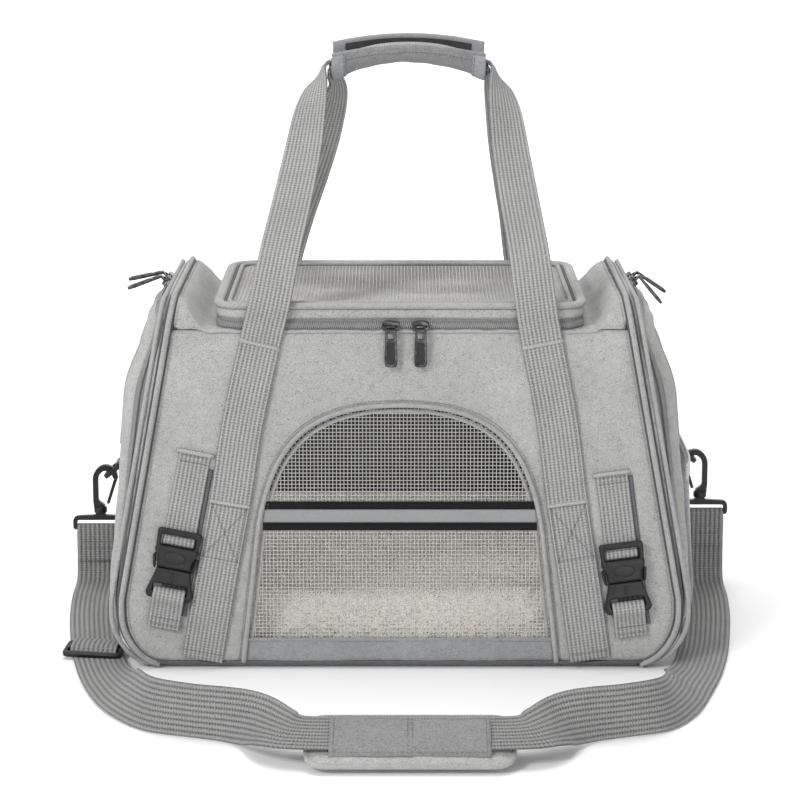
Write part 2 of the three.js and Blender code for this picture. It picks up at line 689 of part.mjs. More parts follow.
/** A D ring whose bar runs along Y, drooping outwards from the tab. */
function addRing(side, sign, z) {
  const { halfWidth, reach, wire } = RING;
  const low = -wire / 2;
  const shape = outline([
    [-halfWidth, low, 1], [halfWidth, low, 1], [halfWidth, reach, 9], [-halfWidth, reach, 9],
  ]);
  const hole = outline(
    [
      [-halfWidth + wire, wire / 2, 1],
      [halfWidth - wire, wire / 2, 1],
      [halfWidth - wire, reach - wire, 6],
      [-halfWidth + wire, reach - wire, 6],
    ],
    THREE.Path,
  );
  shape.holes.push(hole);
  const group = new THREE.Group();
  const width = new THREE.Vector3(0, -sign, 0);
  const outwards = new THREE.Vector3(sign * Math.cos(RING_DROOP), 0, -Math.sin(RING_DROOP));
  const third = new THREE.Vector3().crossVectors(width, outwards);
  group.applyMatrix4(new THREE.Matrix4().makeBasis(width, outwards, third));
  group.position.set(sign * RING_X, RING.y, z);
  bag.add(group);
  add(`${side}_d_ring`, plate(shape, -wire / 2, wire / 2, 5), plastic(), group);
}

/** A swivel hook in the XZ plane: hook, spring gate, and the eye that holds the strap. */
function addHook(side, sign, z) {
  const group = new THREE.Group();
  group.position.set(sign * STRAP_X, RING.y, z - HOOK_DROP);
  group.rotation.z = sign > 0 ? 0 : Math.PI;
  bag.add(group);
  const half = HOOK_THICK / 2;
  const body = outline([
    [-4, 8, 1], [5, 8, 1], [6, 18, 2], [6, 43, 6], [-3, 51, 6], [-14, 47.5, 6], [-16, 37.6, 1],
    [-12, 37.6, 1], [-10, 43, 4], [-4, 45.6, 4], [1.5, 40, 4], [1.5, 18, 2], [-4, 14, 1],
  ]);
  add(`${side}_hook`, prismY(body, -half, half, 4), plastic(), group);
  const gate = outline([[-8, 15, 0.8], [-5.5, 15.6, 0.8], [-12.2, 37, 0.8], [-15.2, 37, 0.8]]);
  add(`${side}_hook_gate`, prismY(gate, -half + 0.8, half - 0.8, 3), plastic(), group);
  const eye = outline([
    [-24, -8, 3], [24, -8, 3], [24, 4, 5], [5, 5, 1], [3, 7.4, 0.6], [-3, 7.4, 0.6], [-5, 5, 1], [-24, 4, 5],
  ]);
  eye.holes.push(outline([[-20.6, -4.6, 1], [20.6, -4.6, 1], [20.6, 0.6, 3], [-20.6, 0.6, 3]], THREE.Path));
  add(`${side}_strap_eye`, prismY(eye, -half + 0.5, half - 0.5, 4), plastic(), group);
}

/** Stations of the left half of the shoulder strap, from the eye to the pad. */
const STRAP_HALF = [
  { at: [-262, 109, 46], roll: 0 },
  { at: [-262, 108, 20], roll: 0 },
  { at: [-262, 103, 6], roll: 0 },
  { at: [-262, 92, 1.8], roll: 0 },
  { at: [-261, 60, 1.6], roll: 0 },
  { at: [-257, 10, 1.6], roll: 0 },
  { at: [-251, -40, 1.6], roll: 0 },
  { at: [-243, -95, 1.6], roll: 0 },
  { at: [-232, -150, 3.2], roll: 0.08 },
  { at: [-219, -203, 10], roll: 0.42 },
  { at: [-204, -252, 18], roll: 0.95 },
  { at: [-183, -287, 20.6], roll: 1.35 },
  { at: [-152, -303, 21], roll: 1.5 },
  { at: [-126, -312, 21], roll: 1.4 },
  { at: [-106, -324, 21.5], roll: 1 },
  { at: [-90, -342, 22], roll: 0.5 },
  { at: [-74, -351, 21], roll: PAD.slope },
  { at: [-40, PAD.y, 20.8], roll: PAD.slope },
];
const EYE_END_Z = { left: 46, right: 60 }; // where each end of the strap stops, inside its eye

/** Which way the strap runs, seen from above. */
function stationWay(i) {
  const before = new THREE.Vector3(...STRAP_HALF[Math.max(i - 1, 0)].at);
  const after = new THREE.Vector3(...STRAP_HALF[Math.min(i + 1, STRAP_HALF.length - 1)].at);
  return i < 3 ? new THREE.Vector3(0, -1, 0) : after.sub(before).setZ(0).normalize();
}

function addShoulderStrap() {
  const left = STRAP_HALF.map(({ at, roll }, i) => {
    const way = stationWay(i);
    const across = [-way.y * Math.cos(roll), way.x * Math.cos(roll), Math.sin(roll)];
    return { at: i === 0 ? [at[0], at[1], EYE_END_Z.left] : at, across };
  });
  const right = left.map(({ at: [x, y, z], across: [a, b, c] }, i) => {
    const offCentre = PAD.x * 2 * THREE.MathUtils.smoothstep(-y, 200, 330);
    const height = i === 0 ? EYE_END_Z.right : z;
    return { at: [-x + offCentre, y, height], across: [-a, b, c] };
  });
  const middle = { at: [PAD.x, PAD.y, 20.8], across: [0, Math.cos(PAD.slope), Math.sin(PAD.slope)] };
  add('shoulder_strap', strap([...left, middle, ...right.reverse()], STRAP_WEB, 1.8), webbing());
}

function addPad() {
  const { x, y, z, halfLength, width, thick, slope } = PAD;
  const shape = roundedBox(-halfLength, halfLength, -width / 2, width / 2, 16);
  const pad = add('shoulder_pad', plate(shape, -thick / 2, thick / 2, 6), heather());
  pad.position.set(x, y, z);
  pad.rotation.x = slope;
}

/** The length adjuster that lies on the left run of the strap. */
function addStrapSlide() {
  const shape = roundedBox(-24, 24, -10, 10, 3);
  for (const low of [-7, 2]) shape.holes.push(roundedBox(-20.5, 20.5, low, low + 5, 1, THREE.Path));
  const slide = add('strap_slide', plate(shape, 0, 3.4, 3), plastic());
  slide.position.set(-243, -95, 3.3);
  slide.rotation.z = 0.16;
}

addPanels();
addEnds();
addPiping();
addInside();
addLid();
addReflectiveStrip();
addBuckles();
addHandles();
addWrap();
addLidZip();
addEndZips();
addHardware();
addShoulderStrap();
addPad();
addStrapSlide();

export default bag;
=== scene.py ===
"""The looks of a soft pet carrier bag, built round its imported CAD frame.

Lengths are millimetres until a piece is made, and +X is right, +Y is back, +Z is up. The bag body
is one lofted form, and its formulas come first, because every sewn piece is laid on it.
"""

import math

import bmesh
import bpy
import numpy as np
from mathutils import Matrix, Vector


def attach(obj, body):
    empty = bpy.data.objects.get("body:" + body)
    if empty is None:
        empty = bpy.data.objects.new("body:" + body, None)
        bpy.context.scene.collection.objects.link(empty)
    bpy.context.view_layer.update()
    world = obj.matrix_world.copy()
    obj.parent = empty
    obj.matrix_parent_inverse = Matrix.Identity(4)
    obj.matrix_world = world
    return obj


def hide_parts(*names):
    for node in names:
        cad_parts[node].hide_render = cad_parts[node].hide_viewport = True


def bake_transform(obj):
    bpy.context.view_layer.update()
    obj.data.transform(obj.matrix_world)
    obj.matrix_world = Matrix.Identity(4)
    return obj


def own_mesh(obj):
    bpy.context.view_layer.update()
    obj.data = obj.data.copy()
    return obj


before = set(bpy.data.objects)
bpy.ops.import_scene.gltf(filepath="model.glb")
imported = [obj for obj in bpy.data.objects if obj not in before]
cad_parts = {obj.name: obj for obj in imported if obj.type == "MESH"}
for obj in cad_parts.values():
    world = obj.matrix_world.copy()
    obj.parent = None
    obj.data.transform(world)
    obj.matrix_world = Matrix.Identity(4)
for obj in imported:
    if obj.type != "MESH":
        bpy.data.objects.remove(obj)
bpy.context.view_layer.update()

MM = 0.001
BAG = "bag"

# ------------------------------------------------------------------ the form of the bag body

HEIGHT = 288.0
BASE_HALF_DEPTH, TOP_HALF_DEPTH = 140.0, 112.0
SEAM_BASE_X, SEAM_TOP_X, SEAM_LEAN_FROM = 218.0, 176.0, 55.0
BASE_END_RADIUS, BASE_SIDE_RADIUS = 45.0, 12.0
TOP_SIDE_RADIUS, TOP_END_RADIUS = 24.0, 12.0
DOME_BASE, DOME_TOP, DOME_FULL_AT = 6.0, 29.0, 210.0
CREST_FROM, CREST_TO, CREST = 215.0, 280.0, 14.0  # how much the dome draws in again up there
SADDLE_Z, SADDLE_FLAT_X, SADDLE_RISE_X = 266.0, 150.0, 172.0
TOP_SEAM_Z, BASE_SEAM_Z = 262.0, 5.0
TOP_EDGE_Z = 265.8  # where the cloth of the front and back meets the top cloth
LEAN = math.atan((BASE_HALF_DEPTH - TOP_HALF_DEPTH) / HEIGHT)
ROOF_START = HEIGHT - TOP_END_RADIUS + TOP_END_RADIUS * math.pi / 2  # way up an end, past its round top edge
ROOF_REACH = DOME_TOP - CREST - TOP_END_RADIUS


def round_off(depth, radius):
    """How far a round edge of this radius has pulled in, at a depth inside it."""
    inside = np.clip(depth, 0, radius)
    return radius - np.sqrt(radius**2 - inside**2)


def seam_x(z):
    """Half the distance between the two end piping lines."""
    lean = np.maximum(z - SEAM_LEAN_FROM, 0) / (HEIGHT - SEAM_LEAN_FROM)
    straight = SEAM_BASE_X - (SEAM_BASE_X - SEAM_TOP_X) * lean
    return straight - round_off(BASE_END_RADIUS - z, BASE_END_RADIUS)


def half_depth(z):
    """Half the distance between the front and the back."""
    straight = BASE_HALF_DEPTH - (BASE_HALF_DEPTH - TOP_HALF_DEPTH) * z / HEIGHT
    top = round_off(z - (HEIGHT - TOP_SIDE_RADIUS), TOP_SIDE_RADIUS)
    return straight - top - round_off(BASE_SIDE_RADIUS - z, BASE_SIDE_RADIUS)


def dome_depth(z):
    """How far an end bulges past its piping line, before its round top edge."""
    t = np.clip((z - CREST_FROM) / (CREST_TO - CREST_FROM), 0, 1)
    full = DOME_BASE + (DOME_TOP - DOME_BASE) * np.clip(z / DOME_FULL_AT, 0, 1)
    return full - CREST * t * t * (3 - 2 * t)


def face_surface(side):
    """The front (side -1) or back (side 1) of the bag, from (x, z)."""

    def place(uv):
        x, z = uv[..., 0], uv[..., 1]
        return np.stack([x, side * half_depth(z), z], -1)

    return place


def end_surface(side):
    """An end of the bag, from (share of the half depth, way up and in over the top edge)."""

    def place(uv):
        share, way = uv[..., 0], uv[..., 1]
        turn = np.clip((way - (HEIGHT - TOP_END_RADIUS)) / TOP_END_RADIUS, 0, math.pi / 2)
        z = np.minimum(way, HEIGHT - TOP_END_RADIUS) + TOP_END_RADIUS * np.sin(turn)
        full = dome_depth(z)
        dome = full - TOP_END_RADIUS * (1 - np.cos(turn)) - np.clip(way - ROOF_START, 0, ROOF_REACH)
        x = seam_x(z) + dome * np.sqrt(np.clip(1 - share**4, 0, 1))
        return np.stack([side * x, share * half_depth(z), z], -1)

    return place


def top_surface(uv):
    """The top panel, a saddle between the raised end hoops, from (x, y)."""
    x, y = uv[..., 0], uv[..., 1]
    rise = np.clip((np.abs(x) - SADDLE_FLAT_X) / (SADDLE_RISE_X - SADDLE_FLAT_X), 0, 1)
    saddle = SADDLE_Z + (HEIGHT - SADDLE_Z) * rise**2 * (3 - 2 * rise)
    start = HEIGHT - TOP_SIDE_RADIUS
    edge = np.clip(np.abs(y) - (half_depth(start) - TOP_SIDE_RADIUS), 0, TOP_SIDE_RADIUS)
    return np.stack([x, y, np.minimum(saddle, start + np.sqrt(TOP_SIDE_RADIUS**2 - edge**2))], -1)


# ------------------------------------------------------------------ points, paths and outlines

def smooth_step(low, high, value):
    """A share from 0 to 1 that starts and stops softly."""
    t = np.clip((value - low) / (high - low), 0, 1)
    return t * t * (3 - 2 * t)


def unit(vectors):
    return vectors / np.maximum(np.linalg.norm(vectors, axis=-1, keepdims=True), 1e-9)


def ripple(points, size, seed):
    """Smooth noise of about -1 to 1, with bumps of about this size."""
    random = np.random.default_rng(seed)
    waves = 8
    total = 0
    for _ in range(waves):
        way = unit(random.normal(size=3)) * 2 * math.pi / (size * random.uniform(0.8, 2.2))
        total = total + np.sin(points @ way + random.uniform(0, 2 * math.pi))
    return total / math.sqrt(waves)


def spline(rows, step):
    """A smooth line through rows of numbers, x, y and z first, with points about step apart."""
    rows = np.asarray(rows, float)
    padded = np.vstack([2 * rows[0] - rows[1], rows, 2 * rows[-1] - rows[-2]])
    found = []
    for i in range(len(rows) - 1):
        p0, p1, p2, p3 = padded[i:i + 4]
        count = max(1, round(np.linalg.norm((p2 - p1)[:3]) / step))
        for t in np.arange(count) / count:
            found.append(0.5 * (2 * p1 + (p2 - p0) * t + (2 * p0 - 5 * p1 + 4 * p2 - p3) * t**2
                                + (3 * p1 - p0 - 3 * p2 + p3) * t**3))
    return np.array([*found, rows[-1]])


def even(points, step, closed=False):
    """The same line with its points exactly evenly apart, about step."""
    points = np.asarray(points, float)
    if closed:
        points = np.vstack([points, points[:1]])
    gone = np.concatenate([[0], np.cumsum(np.linalg.norm(np.diff(points, axis=0), axis=1))])
    count = max(2, round(gone[-1] / step))
    stops = np.linspace(0, gone[-1], count + 1)
    found = np.stack([np.interp(stops, gone, column) for column in points.T], -1)
    return found[:-1] if closed else found


def matched(line, other):
    """A closed line with as many points as another one, spread in the same way."""
    shares = np.arange(len(other)) * len(line) / len(other)
    ring = np.vstack([line, line[:1]])
    return np.stack([np.interp(shares, np.arange(len(ring)), column) for column in ring.T], -1)


def rounded(corners, step=2.0, closed=True):
    """An outline through corners (u, v, radius), with points about step apart."""
    corners = [np.array(c, float) for c in corners]
    found = []
    for i, (u, v, radius) in enumerate(corners):
        here = np.array([u, v])
        ends = closed or 0 < i < len(corners) - 1
        if radius <= 0 or not ends:
            found.append(here)
            continue
        before = corners[i - 1][:2] - here
        after = corners[(i + 1) % len(corners)][:2] - here
        reach = min(radius, 0.49 * np.linalg.norm(before), 0.49 * np.linalg.norm(after))
        start, end = here + unit(before) * reach, here + unit(after) * reach
        for t in np.linspace(0, 1, 9):
            found.append((1 - t) ** 2 * start + 2 * t * (1 - t) * here + t**2 * end)
    return even(found, step, closed)


def box_loop(left, right, low, high, radius, step=2.0):
    """The outline of a box with round corners."""
    corners = ((left, low), (right, low), (right, high), (left, high))
    return rounded([(u, v, radius) for u, v in corners], step)


def inside_outline(outline):
    """A test of whether points (u, v) lie inside a closed outline."""
    a, b = outline, np.roll(outline, -1, axis=0)

    def test(uv):
        flat = uv.reshape(-1, 1, 2)
        crosses = (a[:, 1] > flat[..., 1]) != (b[:, 1] > flat[..., 1])
        rise = np.where(np.abs(b[:, 1] - a[:, 1]) < 1e-9, 1e-9, b[:, 1] - a[:, 1])
        at = a[:, 0] + (flat[..., 1] - a[:, 1]) * (b[:, 0] - a[:, 0]) / rise
        return ((crosses & (flat[..., 0] < at)).sum(-1) % 2 == 1).reshape(uv.shape[:-1])

    return test


# ------------------------------------------------------------------ meshes

class Form:
    """Points and faces gathered for one piece. Its weave is each point's place across and along the cloth."""

    def __init__(self):
        self.points, self.faces, self.count, self.weave = [], [], 0, []

    def add(self, points, faces, weave=None):
        points = np.asarray(points, float).reshape(-1, 3)
        self.points.append(points)
        self.weave.append(np.zeros((len(points), 2)) if weave is None else weave.reshape(-1, 2))
        self.faces += [[i + self.count for i in face] for face in np.asarray(faces).tolist()]
        self.count += len(points)
        return self

    def cap(self, loop):
        self.faces.append([i + self.count for i in loop])


def grid_faces(rows, columns, wrap_rows=False, wrap_columns=False):
    row, column = np.arange(rows - (not wrap_rows)), np.arange(columns - (not wrap_columns))
    a, b = np.meshgrid(row, column, indexing="ij")
    c, d = (a + 1) % rows, (b + 1) % columns
    return np.stack([a * columns + b, c * columns + b, c * columns + d, a * columns + d], -1).reshape(-1, 4)


def grid_normals(grid, wrap=False, centre=(0, 0, 130)):
    """Unit normals of a grid of points, all turned away from centre."""
    du = np.roll(grid, -1, 0) - np.roll(grid, 1, 0) if wrap else np.gradient(grid, axis=0)
    normals = unit(np.cross(du, np.gradient(grid, axis=1)))
    outwards = (normals * (grid - np.array(centre))).sum()
    return normals if outwards > 0 else -normals


def slab(form, outer, inner, wrap=False):
    """A closed sheet between two grids of points."""
    rows, columns = outer.shape[:2]
    half = rows * columns
    front = grid_faces(rows, columns, wrap)
    faces = [front, front[:, ::-1] + half]
    along = np.arange(rows - (not wrap))
    after = (along + 1) % rows
    for column, way in ((0, 1), (columns - 1, -1)):
        rim = np.stack([along, along + half / columns, after + half / columns, after], -1) * columns + column
        faces.append(rim[:, ::-way].astype(int))
    if not wrap:
        across = np.arange(columns - 1)
        for row, way in ((0, -1), (rows - 1, 1)):
            rim = np.stack([across, across + half, across + 1 + half, across + 1], -1) + row * columns
            faces.append(rim[:, ::-way])
    form.add(np.concatenate([outer.reshape(-1, 3), inner.reshape(-1, 3)]), np.concatenate(faces))
    return form


def sweep(form, profile, origin, a, b, closed=False):
    """Sweeps a closed profile (n, 2) along a line, with a and b carrying its two axes."""
    gone = np.cumsum(np.linalg.norm(np.diff(origin, axis=0, prepend=origin[:1]), axis=1))
    profile = np.asarray(profile, float)
    if profile.ndim == 2:
        profile = profile[None]
    points = origin[:, None] + profile[..., :1] * a[:, None] + profile[..., 1:] * b[:, None]
    rows, columns = points.shape[:2]
    if not closed:
        form.cap(list(range(columns))[::-1])
        form.cap(list(range((rows - 1) * columns, rows * columns)))
    across = np.broadcast_to(profile[..., 0], (rows, columns))
    weave = np.stack([across, np.broadcast_to(gone[:, None], (rows, columns))], -1)
    return form.add(points, grid_faces(rows, columns, closed, True), weave)


def tangents(points, closed=False):
    """The direction of a line at each of its points."""
    if closed:
        return unit(np.roll(points, -1, 0) - np.roll(points, 1, 0))
    return unit(np.gradient(points, axis=0))


def circle(radius, sides=8):
    """The points of a circle in (u, v)."""
    angle = np.arange(sides) * 2 * math.pi / sides
    return np.stack([np.cos(angle), np.sin(angle)], -1) * radius


def tube(form, points, radius, sides=8, closed=False, up=(0.13, 0.21, 1)):
    """A round rope along points."""
    along = tangents(points, closed)
    a = np.cross(along, np.array(up, float))
    for i in range(1, len(a)):
        carried = a[i - 1] - along[i] * (a[i - 1] @ along[i])
        a[i] = a[i] if closed else carried
    a = unit(a)
    return sweep(form, circle(radius, sides), points, a, np.cross(along, a), closed)


BEVEL_ANGLE, SHARP_ANGLE = math.radians(35), math.radians(40)
SPINDLE_FACES = [*grid_faces(3, 4, False, True).tolist(), [3, 2, 1, 0], [8, 9, 10, 11]]
CUBE_FACES = [[0, 1, 3, 2], [4, 6, 7, 5], [0, 4, 5, 1], [2, 3, 7, 6], [0, 2, 6, 4], [1, 5, 7, 3]]


def spindle(length, radius):
    """A small thread form along x: thin ends, thick middle."""
    ring = circle(1, 4)
    parts = [(-0.5, 0.45), (0, 1), (0.5, 0.45)]
    return np.array([[x * length, y * r * radius, z * r * radius] for x, r in parts for y, z in ring])


def little_box(length, width, height):
    return np.array([[x * length, y * width, z * height]
                     for x in (-0.5, 0.5) for y in (-0.5, 0.5) for z in (-0.5, 0.5)])


def scatter(form, points, faces, origin, a, b, c):
    """Copies of a small form, one at each origin, with its axes along a, b and c."""
    x, y, z = points.T[..., None]
    copies = origin[:, None] + x * a[:, None] + y * b[:, None] + z * c[:, None]
    shifted = np.arange(len(origin))[:, None] * len(points)
    for face in faces:
        form.faces += (np.array(face)[None] + shifted + form.count).tolist()
    return form.add(copies, [])


def stitches(form, points, normal, pitch=3.0, closed=False):
    """A row of stitches along a line. normal is one direction, or one for each point."""
    points = np.asarray(points, float)
    normal = np.broadcast_to(np.asarray(normal, float), points.shape)
    both = even(np.hstack([points, normal]), pitch, closed)
    points, normal = both[:, :3], unit(both[:, 3:])
    along = tangents(points, closed)
    across = np.cross(normal, along)
    return scatter(form, spindle(2.1, 0.32), SPINDLE_FACES, points, along, across, normal)


def zip_row(form, points, normal, side, pitch=1.7):
    """One side's coil of a zip along a line: loops that reach over its middle."""
    both = even(np.hstack([points, np.broadcast_to(normal, points.shape)]), pitch)
    at = both[:, :3]
    out = unit(both[:, 3:])
    along = tangents(at)
    across = np.cross(out, along) * side
    place = at + across * 1.1 + along * (0.25 * pitch * side)
    return scatter(form, spindle(3.9, 0.75), SPINDLE_FACES, place, across, along, out)


def piece(name, form, material, body=BAG, slot=None, stands_for=(), soft_edges=0):
    """Makes the object of a form, gives it its material, and lets it ride on a body."""
    mesh = bpy.data.meshes.new(name)
    mesh.from_pydata((np.concatenate(form.points) * MM).tolist(), [], form.faces)
    work = bmesh.new()
    work.from_mesh(mesh)
    bmesh.ops.recalc_face_normals(work, faces=work.faces)
    work.to_mesh(mesh)
    work.free()
    mesh.polygons.foreach_set("use_smooth", [True] * len(mesh.polygons))
    weave = np.concatenate(form.weave)
    if weave.any():
        layer = mesh.attributes.new("weave", "FLOAT_VECTOR", "POINT")
        layer.data.foreach_set("vector", np.hstack([weave, 0 * weave[:, :1]]).astype(np.float32).ravel())
    mesh.materials.append(material)
    thing = bpy.data.objects.new(name, mesh)
    bpy.context.scene.collection.objects.link(thing)
    if soft_edges:
        bevel(thing, soft_edges)
    if body:
        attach(thing, body)
    if stands_for:
        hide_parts(*stands_for)
    return thing


def bevel(thing, width, segments=2):
    """Rounds the sharp edges of an object."""
    edges = thing.modifiers.new("edges", "BEVEL")
    edges.width = width * MM
    edges.segments = segments
    edges.limit_method = "ANGLE"
    edges.angle_limit = BEVEL_ANGLE
    edges.harden_normals = True


def cut_out(name, outlines, low, high, place, material, body, edge=0.7, **rest):
    """A flat form with holes: its outlines (u, v), thick from low to high along the third axis of place."""
    curve = bpy.data.curves.new(name, "CURVE")
    curve.dimensions = "2D"
    curve.fill_mode = "BOTH"
    for outline in outlines:
        line = curve.splines.new("POLY")
        line.points.add(len(outline) - 1)
        for point, (u, v) in zip(line.points, outline):
            point.co = (u, v, 0, 1)
        line.use_cyclic_u = True
    curve.extrude = (high - low) / 2 - edge
    curve.bevel_depth = edge
    curve.bevel_resolution = 2
    curve.offset = -edge
    source = bpy.data.objects.new(name + "_outline", curve)
    mesh = bpy.data.meshes.new_from_object(source)
    bpy.data.objects.remove(source)
    points = np.array([v.co for v in mesh.vertices], float) + np.array([0, 0, (low + high) / 2])
    world = points @ place[:3, :3].T + place[:3, 3]
    form = Form()
    form.add(world, [])
    form.faces = [list(p.vertices) for p in mesh.polygons]
    bpy.data.meshes.remove(mesh)
    thing = piece(name, form, material, body, **rest)
    work = bmesh.new()
    work.from_mesh(thing.data)
    bmesh.ops.remove_doubles(work, verts=work.verts, dist=0.01 * MM)
    bmesh.ops.recalc_face_normals(work, faces=work.faces)
    work.to_mesh(thing.data)
    work.free()
    thing.data.polygons.foreach_set("use_smooth", [True] * len(thing.data.polygons))
    thing.data.set_sharp_from_angle(angle=SHARP_ANGLE)
    return thing


def placing(origin, a, b):
    """A 4 x 4 placing with its first two axes along a and b."""
    found = np.eye(4)
    found[:3, 0] = unit(np.array(a, float))
    found[:3, 1] = unit(np.array(b, float))
    found[:3, 2] = np.cross(found[:3, 0], found[:3, 1])
    found[:3, 3] = origin
    return found


def on_front(x, z, tilt=0.0):
    """A placing on the front panel: right, up the panel and out of it, turned by tilt."""
    up = np.array([0, math.sin(LEAN), math.cos(LEAN)])
    right = np.array([1.0, 0, 0])
    a = right * math.cos(tilt) + up * math.sin(tilt)
    b = up * math.cos(tilt) - right * math.sin(tilt)
    return placing([x, -half_depth(z), z], a, b)


def moved(place, points):
    """Points given in the axes of a placing, in those of the bag."""
    points = np.asarray(points, float).reshape(-1, 3)
    return points @ place[:3, :3].T + place[:3, 3]


# ------------------------------------------------------------------ materials

def linear(red, green, blue):
    """A colour from 0 to 255 display values."""
    return tuple((c / 255) ** 2.2 for c in (red, green, blue)) + (1.0,)


class Finish:
    """A Principled material with helpers for its procedural nodes."""

    def __init__(self, name, roughness=0.9, metallic=0.0, sheen=0.0, specular=0.3):
        self.material = bpy.data.materials.new(name)
        self.material.use_nodes = True
        self.nodes = self.material.node_tree.nodes
        self.links = self.material.node_tree.links
        self.shader = self.nodes["Principled BSDF"]
        values = {"Roughness": roughness, "Metallic": metallic, "Sheen Weight": sheen,
                  "Specular IOR Level": specular, "Sheen Roughness": 0.5}
        for socket, value in values.items():
            self.shader.inputs[socket].default_value = value
        self.where = self.nodes.new("ShaderNodeTexCoord").outputs["Object"]

    def scaled(self, stretch=(1, 1, 1)):
        mapping = self.nodes.new("ShaderNodeMapping")
        mapping.inputs["Scale"].default_value = stretch
        self.links.new(self.where, mapping.inputs["Vector"])
        return mapping.outputs["Vector"]

    def noise(self, size, detail=2.0, stretch=(1, 1, 1)):
        """Noise with bumps of about this size in mm, as a value from 0 to 1."""
        texture = self.nodes.new("ShaderNodeTexNoise")
        texture.inputs["Scale"].default_value = 1 / (size * MM)
        texture.inputs["Detail"].default_value = detail
        self.links.new(self.scaled(stretch), texture.inputs["Vector"])
        return texture.outputs["Fac"]

    def ribs(self, size, stretch=(1, 1, 1)):
        """Parallel ridges this far apart in mm, as a value from 0 to 1."""
        texture = self.nodes.new("ShaderNodeTexWave")
        texture.bands_direction = "DIAGONAL"
        texture.inputs["Scale"].default_value = 2 * math.pi / (10 * size * MM)
        texture.inputs["Distortion"].default_value = 0.4
        texture.inputs["Detail Scale"].default_value = 2.0
        self.links.new(self.scaled(stretch), texture.inputs["Vector"])
        return texture.outputs["Fac"]

    def formula(self, operation, *values):
        """A math node on sockets and numbers."""
        node = self.nodes.new("ShaderNodeMath")
        node.operation = operation
        for value, socket in zip(values, node.inputs):
            if isinstance(value, (int, float)):
                socket.default_value = value
            else:
                self.links.new(value, socket)
        return node.outputs["Value"]

    def ramp(self, value, *stops):
        """A colour that runs through stops (position, colour) as value rises."""
        node = self.nodes.new("ShaderNodeValToRGB")
        elements = node.color_ramp.elements
        while len(elements) < len(stops):
            elements.new(0.5)
        for element, (position, color) in zip(elements, stops):
            element.position = position
            element.color = color
        self.links.new(value, node.inputs["Fac"])
        return node.outputs["Color"]

    def tinted(self, color, by, share):
        """The colour, multiplied by another one by this share."""
        node = self.nodes.new("ShaderNodeMix")
        node.data_type = "RGBA"
        node.blend_type = "MULTIPLY"
        node.inputs["Factor"].default_value = share
        self.links.new(color, node.inputs["A"])
        self.links.new(by, node.inputs["B"])
        return node.outputs["Result"]

    def paint(self, color):
        self.links.new(color, self.shader.inputs["Base Color"])
        return self

    def bump(self, height, depth, strength=1.0):
        """Relief this deep in mm. A second call adds relief on top of the first."""
        node = self.nodes.new("ShaderNodeBump")
        node.inputs["Distance"].default_value = depth * MM
        node.inputs["Strength"].default_value = strength
        self.links.new(height, node.inputs["Height"])
        normal = self.shader.inputs["Normal"]
        if normal.links:
            self.links.new(normal.links[0].from_socket, node.inputs["Normal"])
        self.links.new(node.outputs["Normal"], normal)
        return self


def grey(level):
    return (level, level, level, 1.0)


def cloth(name, dark, light, thread=1.0, sheen=0.2, wear=0.12):
    """Heather cloth: fine flecks of two yarn shades, a weave, soft mottling and slow shade changes."""
    finish = Finish(name, 0.92, sheen=sheen)
    flecks = finish.noise(0.9, 3.0, (1, 1, 1.8))
    mottle = finish.noise(5.0, 6.0)
    shade = finish.formula("MULTIPLY_ADD", mottle, 0.18, finish.formula("MULTIPLY", flecks, 0.82))
    color = finish.ramp(shade, (0.3, dark), (0.5, linear_mix(dark, light, 0.7)), (0.7, light))
    patches = finish.ramp(finish.noise(45, 3.0), (0.3, grey(1 - wear)), (0.7, grey(1.0)))
    finish.paint(finish.tinted(color, patches, 1.0))
    weave = finish.formula("ADD", finish.ribs(thread), finish.ribs(thread, stretch=(1, 1, -1)))
    return finish.bump(weave, 0.12).bump(flecks, 0.18, 0.6).material


def linear_mix(a, b, share):
    """A colour this share of the way from a to b."""
    return tuple(x + (y - x) * share for x, y in zip(a, b))


def woven(name, dark, light, column=4.0, pick=2.2):
    """Webbing: raised cords along it, each a row of slanting stitches. Its colour follows the relief, as
    painted light and shade: the cords are painted lighter and the ground between cords and stitches darker.
    """
    finish = Finish(name, 0.82, sheen=0.1)
    place = finish.nodes.new("ShaderNodeAttribute")
    place.attribute_name = "weave"
    split = finish.nodes.new("ShaderNodeSeparateXYZ")
    finish.links.new(place.outputs["Vector"], split.inputs["Vector"])
    fold = finish.formula("PINGPONG", split.outputs["X"], column / 2)
    cord = finish.formula("POWER", finish.formula("DIVIDE", fold, column / 2), 0.8)
    slant = finish.formula("MULTIPLY_ADD", fold, 0.5, split.outputs["Y"])
    yarn = finish.formula("DIVIDE", finish.formula("PINGPONG", slant, pick / 2), pick / 2)
    height = finish.formula("MULTIPLY_ADD", yarn, 0.6, cord)
    fuzz = finish.noise(1.1, 3.0)
    # Painted light and shade: the higher the relief, the lighter the colour.
    shade = finish.formula("MULTIPLY_ADD", fuzz, 0.7, finish.formula("MULTIPLY", height, 0.5))
    color = finish.ramp(shade, (0.3, dark), (0.62, linear_mix(dark, light, 0.42)), (1.0, light))
    patches = finish.ramp(finish.noise(30, 2.0), (0.3, grey(0.9)), (0.7, grey(1.0)))
    finish.paint(finish.tinted(color, patches, 1.0))
    return finish.bump(height, 0.4).material


def plastic(name, color, rough=0.42):
    """Moulded plastic: satin, with a fine spark-eroded grain and faint scuffs."""
    finish = Finish(name, rough, specular=0.5)
    scuffs = finish.noise(5, 5.0)
    finish.paint(finish.ramp(scuffs, (0.35, color), (0.8, linear_mix(color, grey(0.03), 0.3))))
    return finish.bump(finish.noise(0.35, 1.0), 0.035).bump(scuffs, 0.05).material


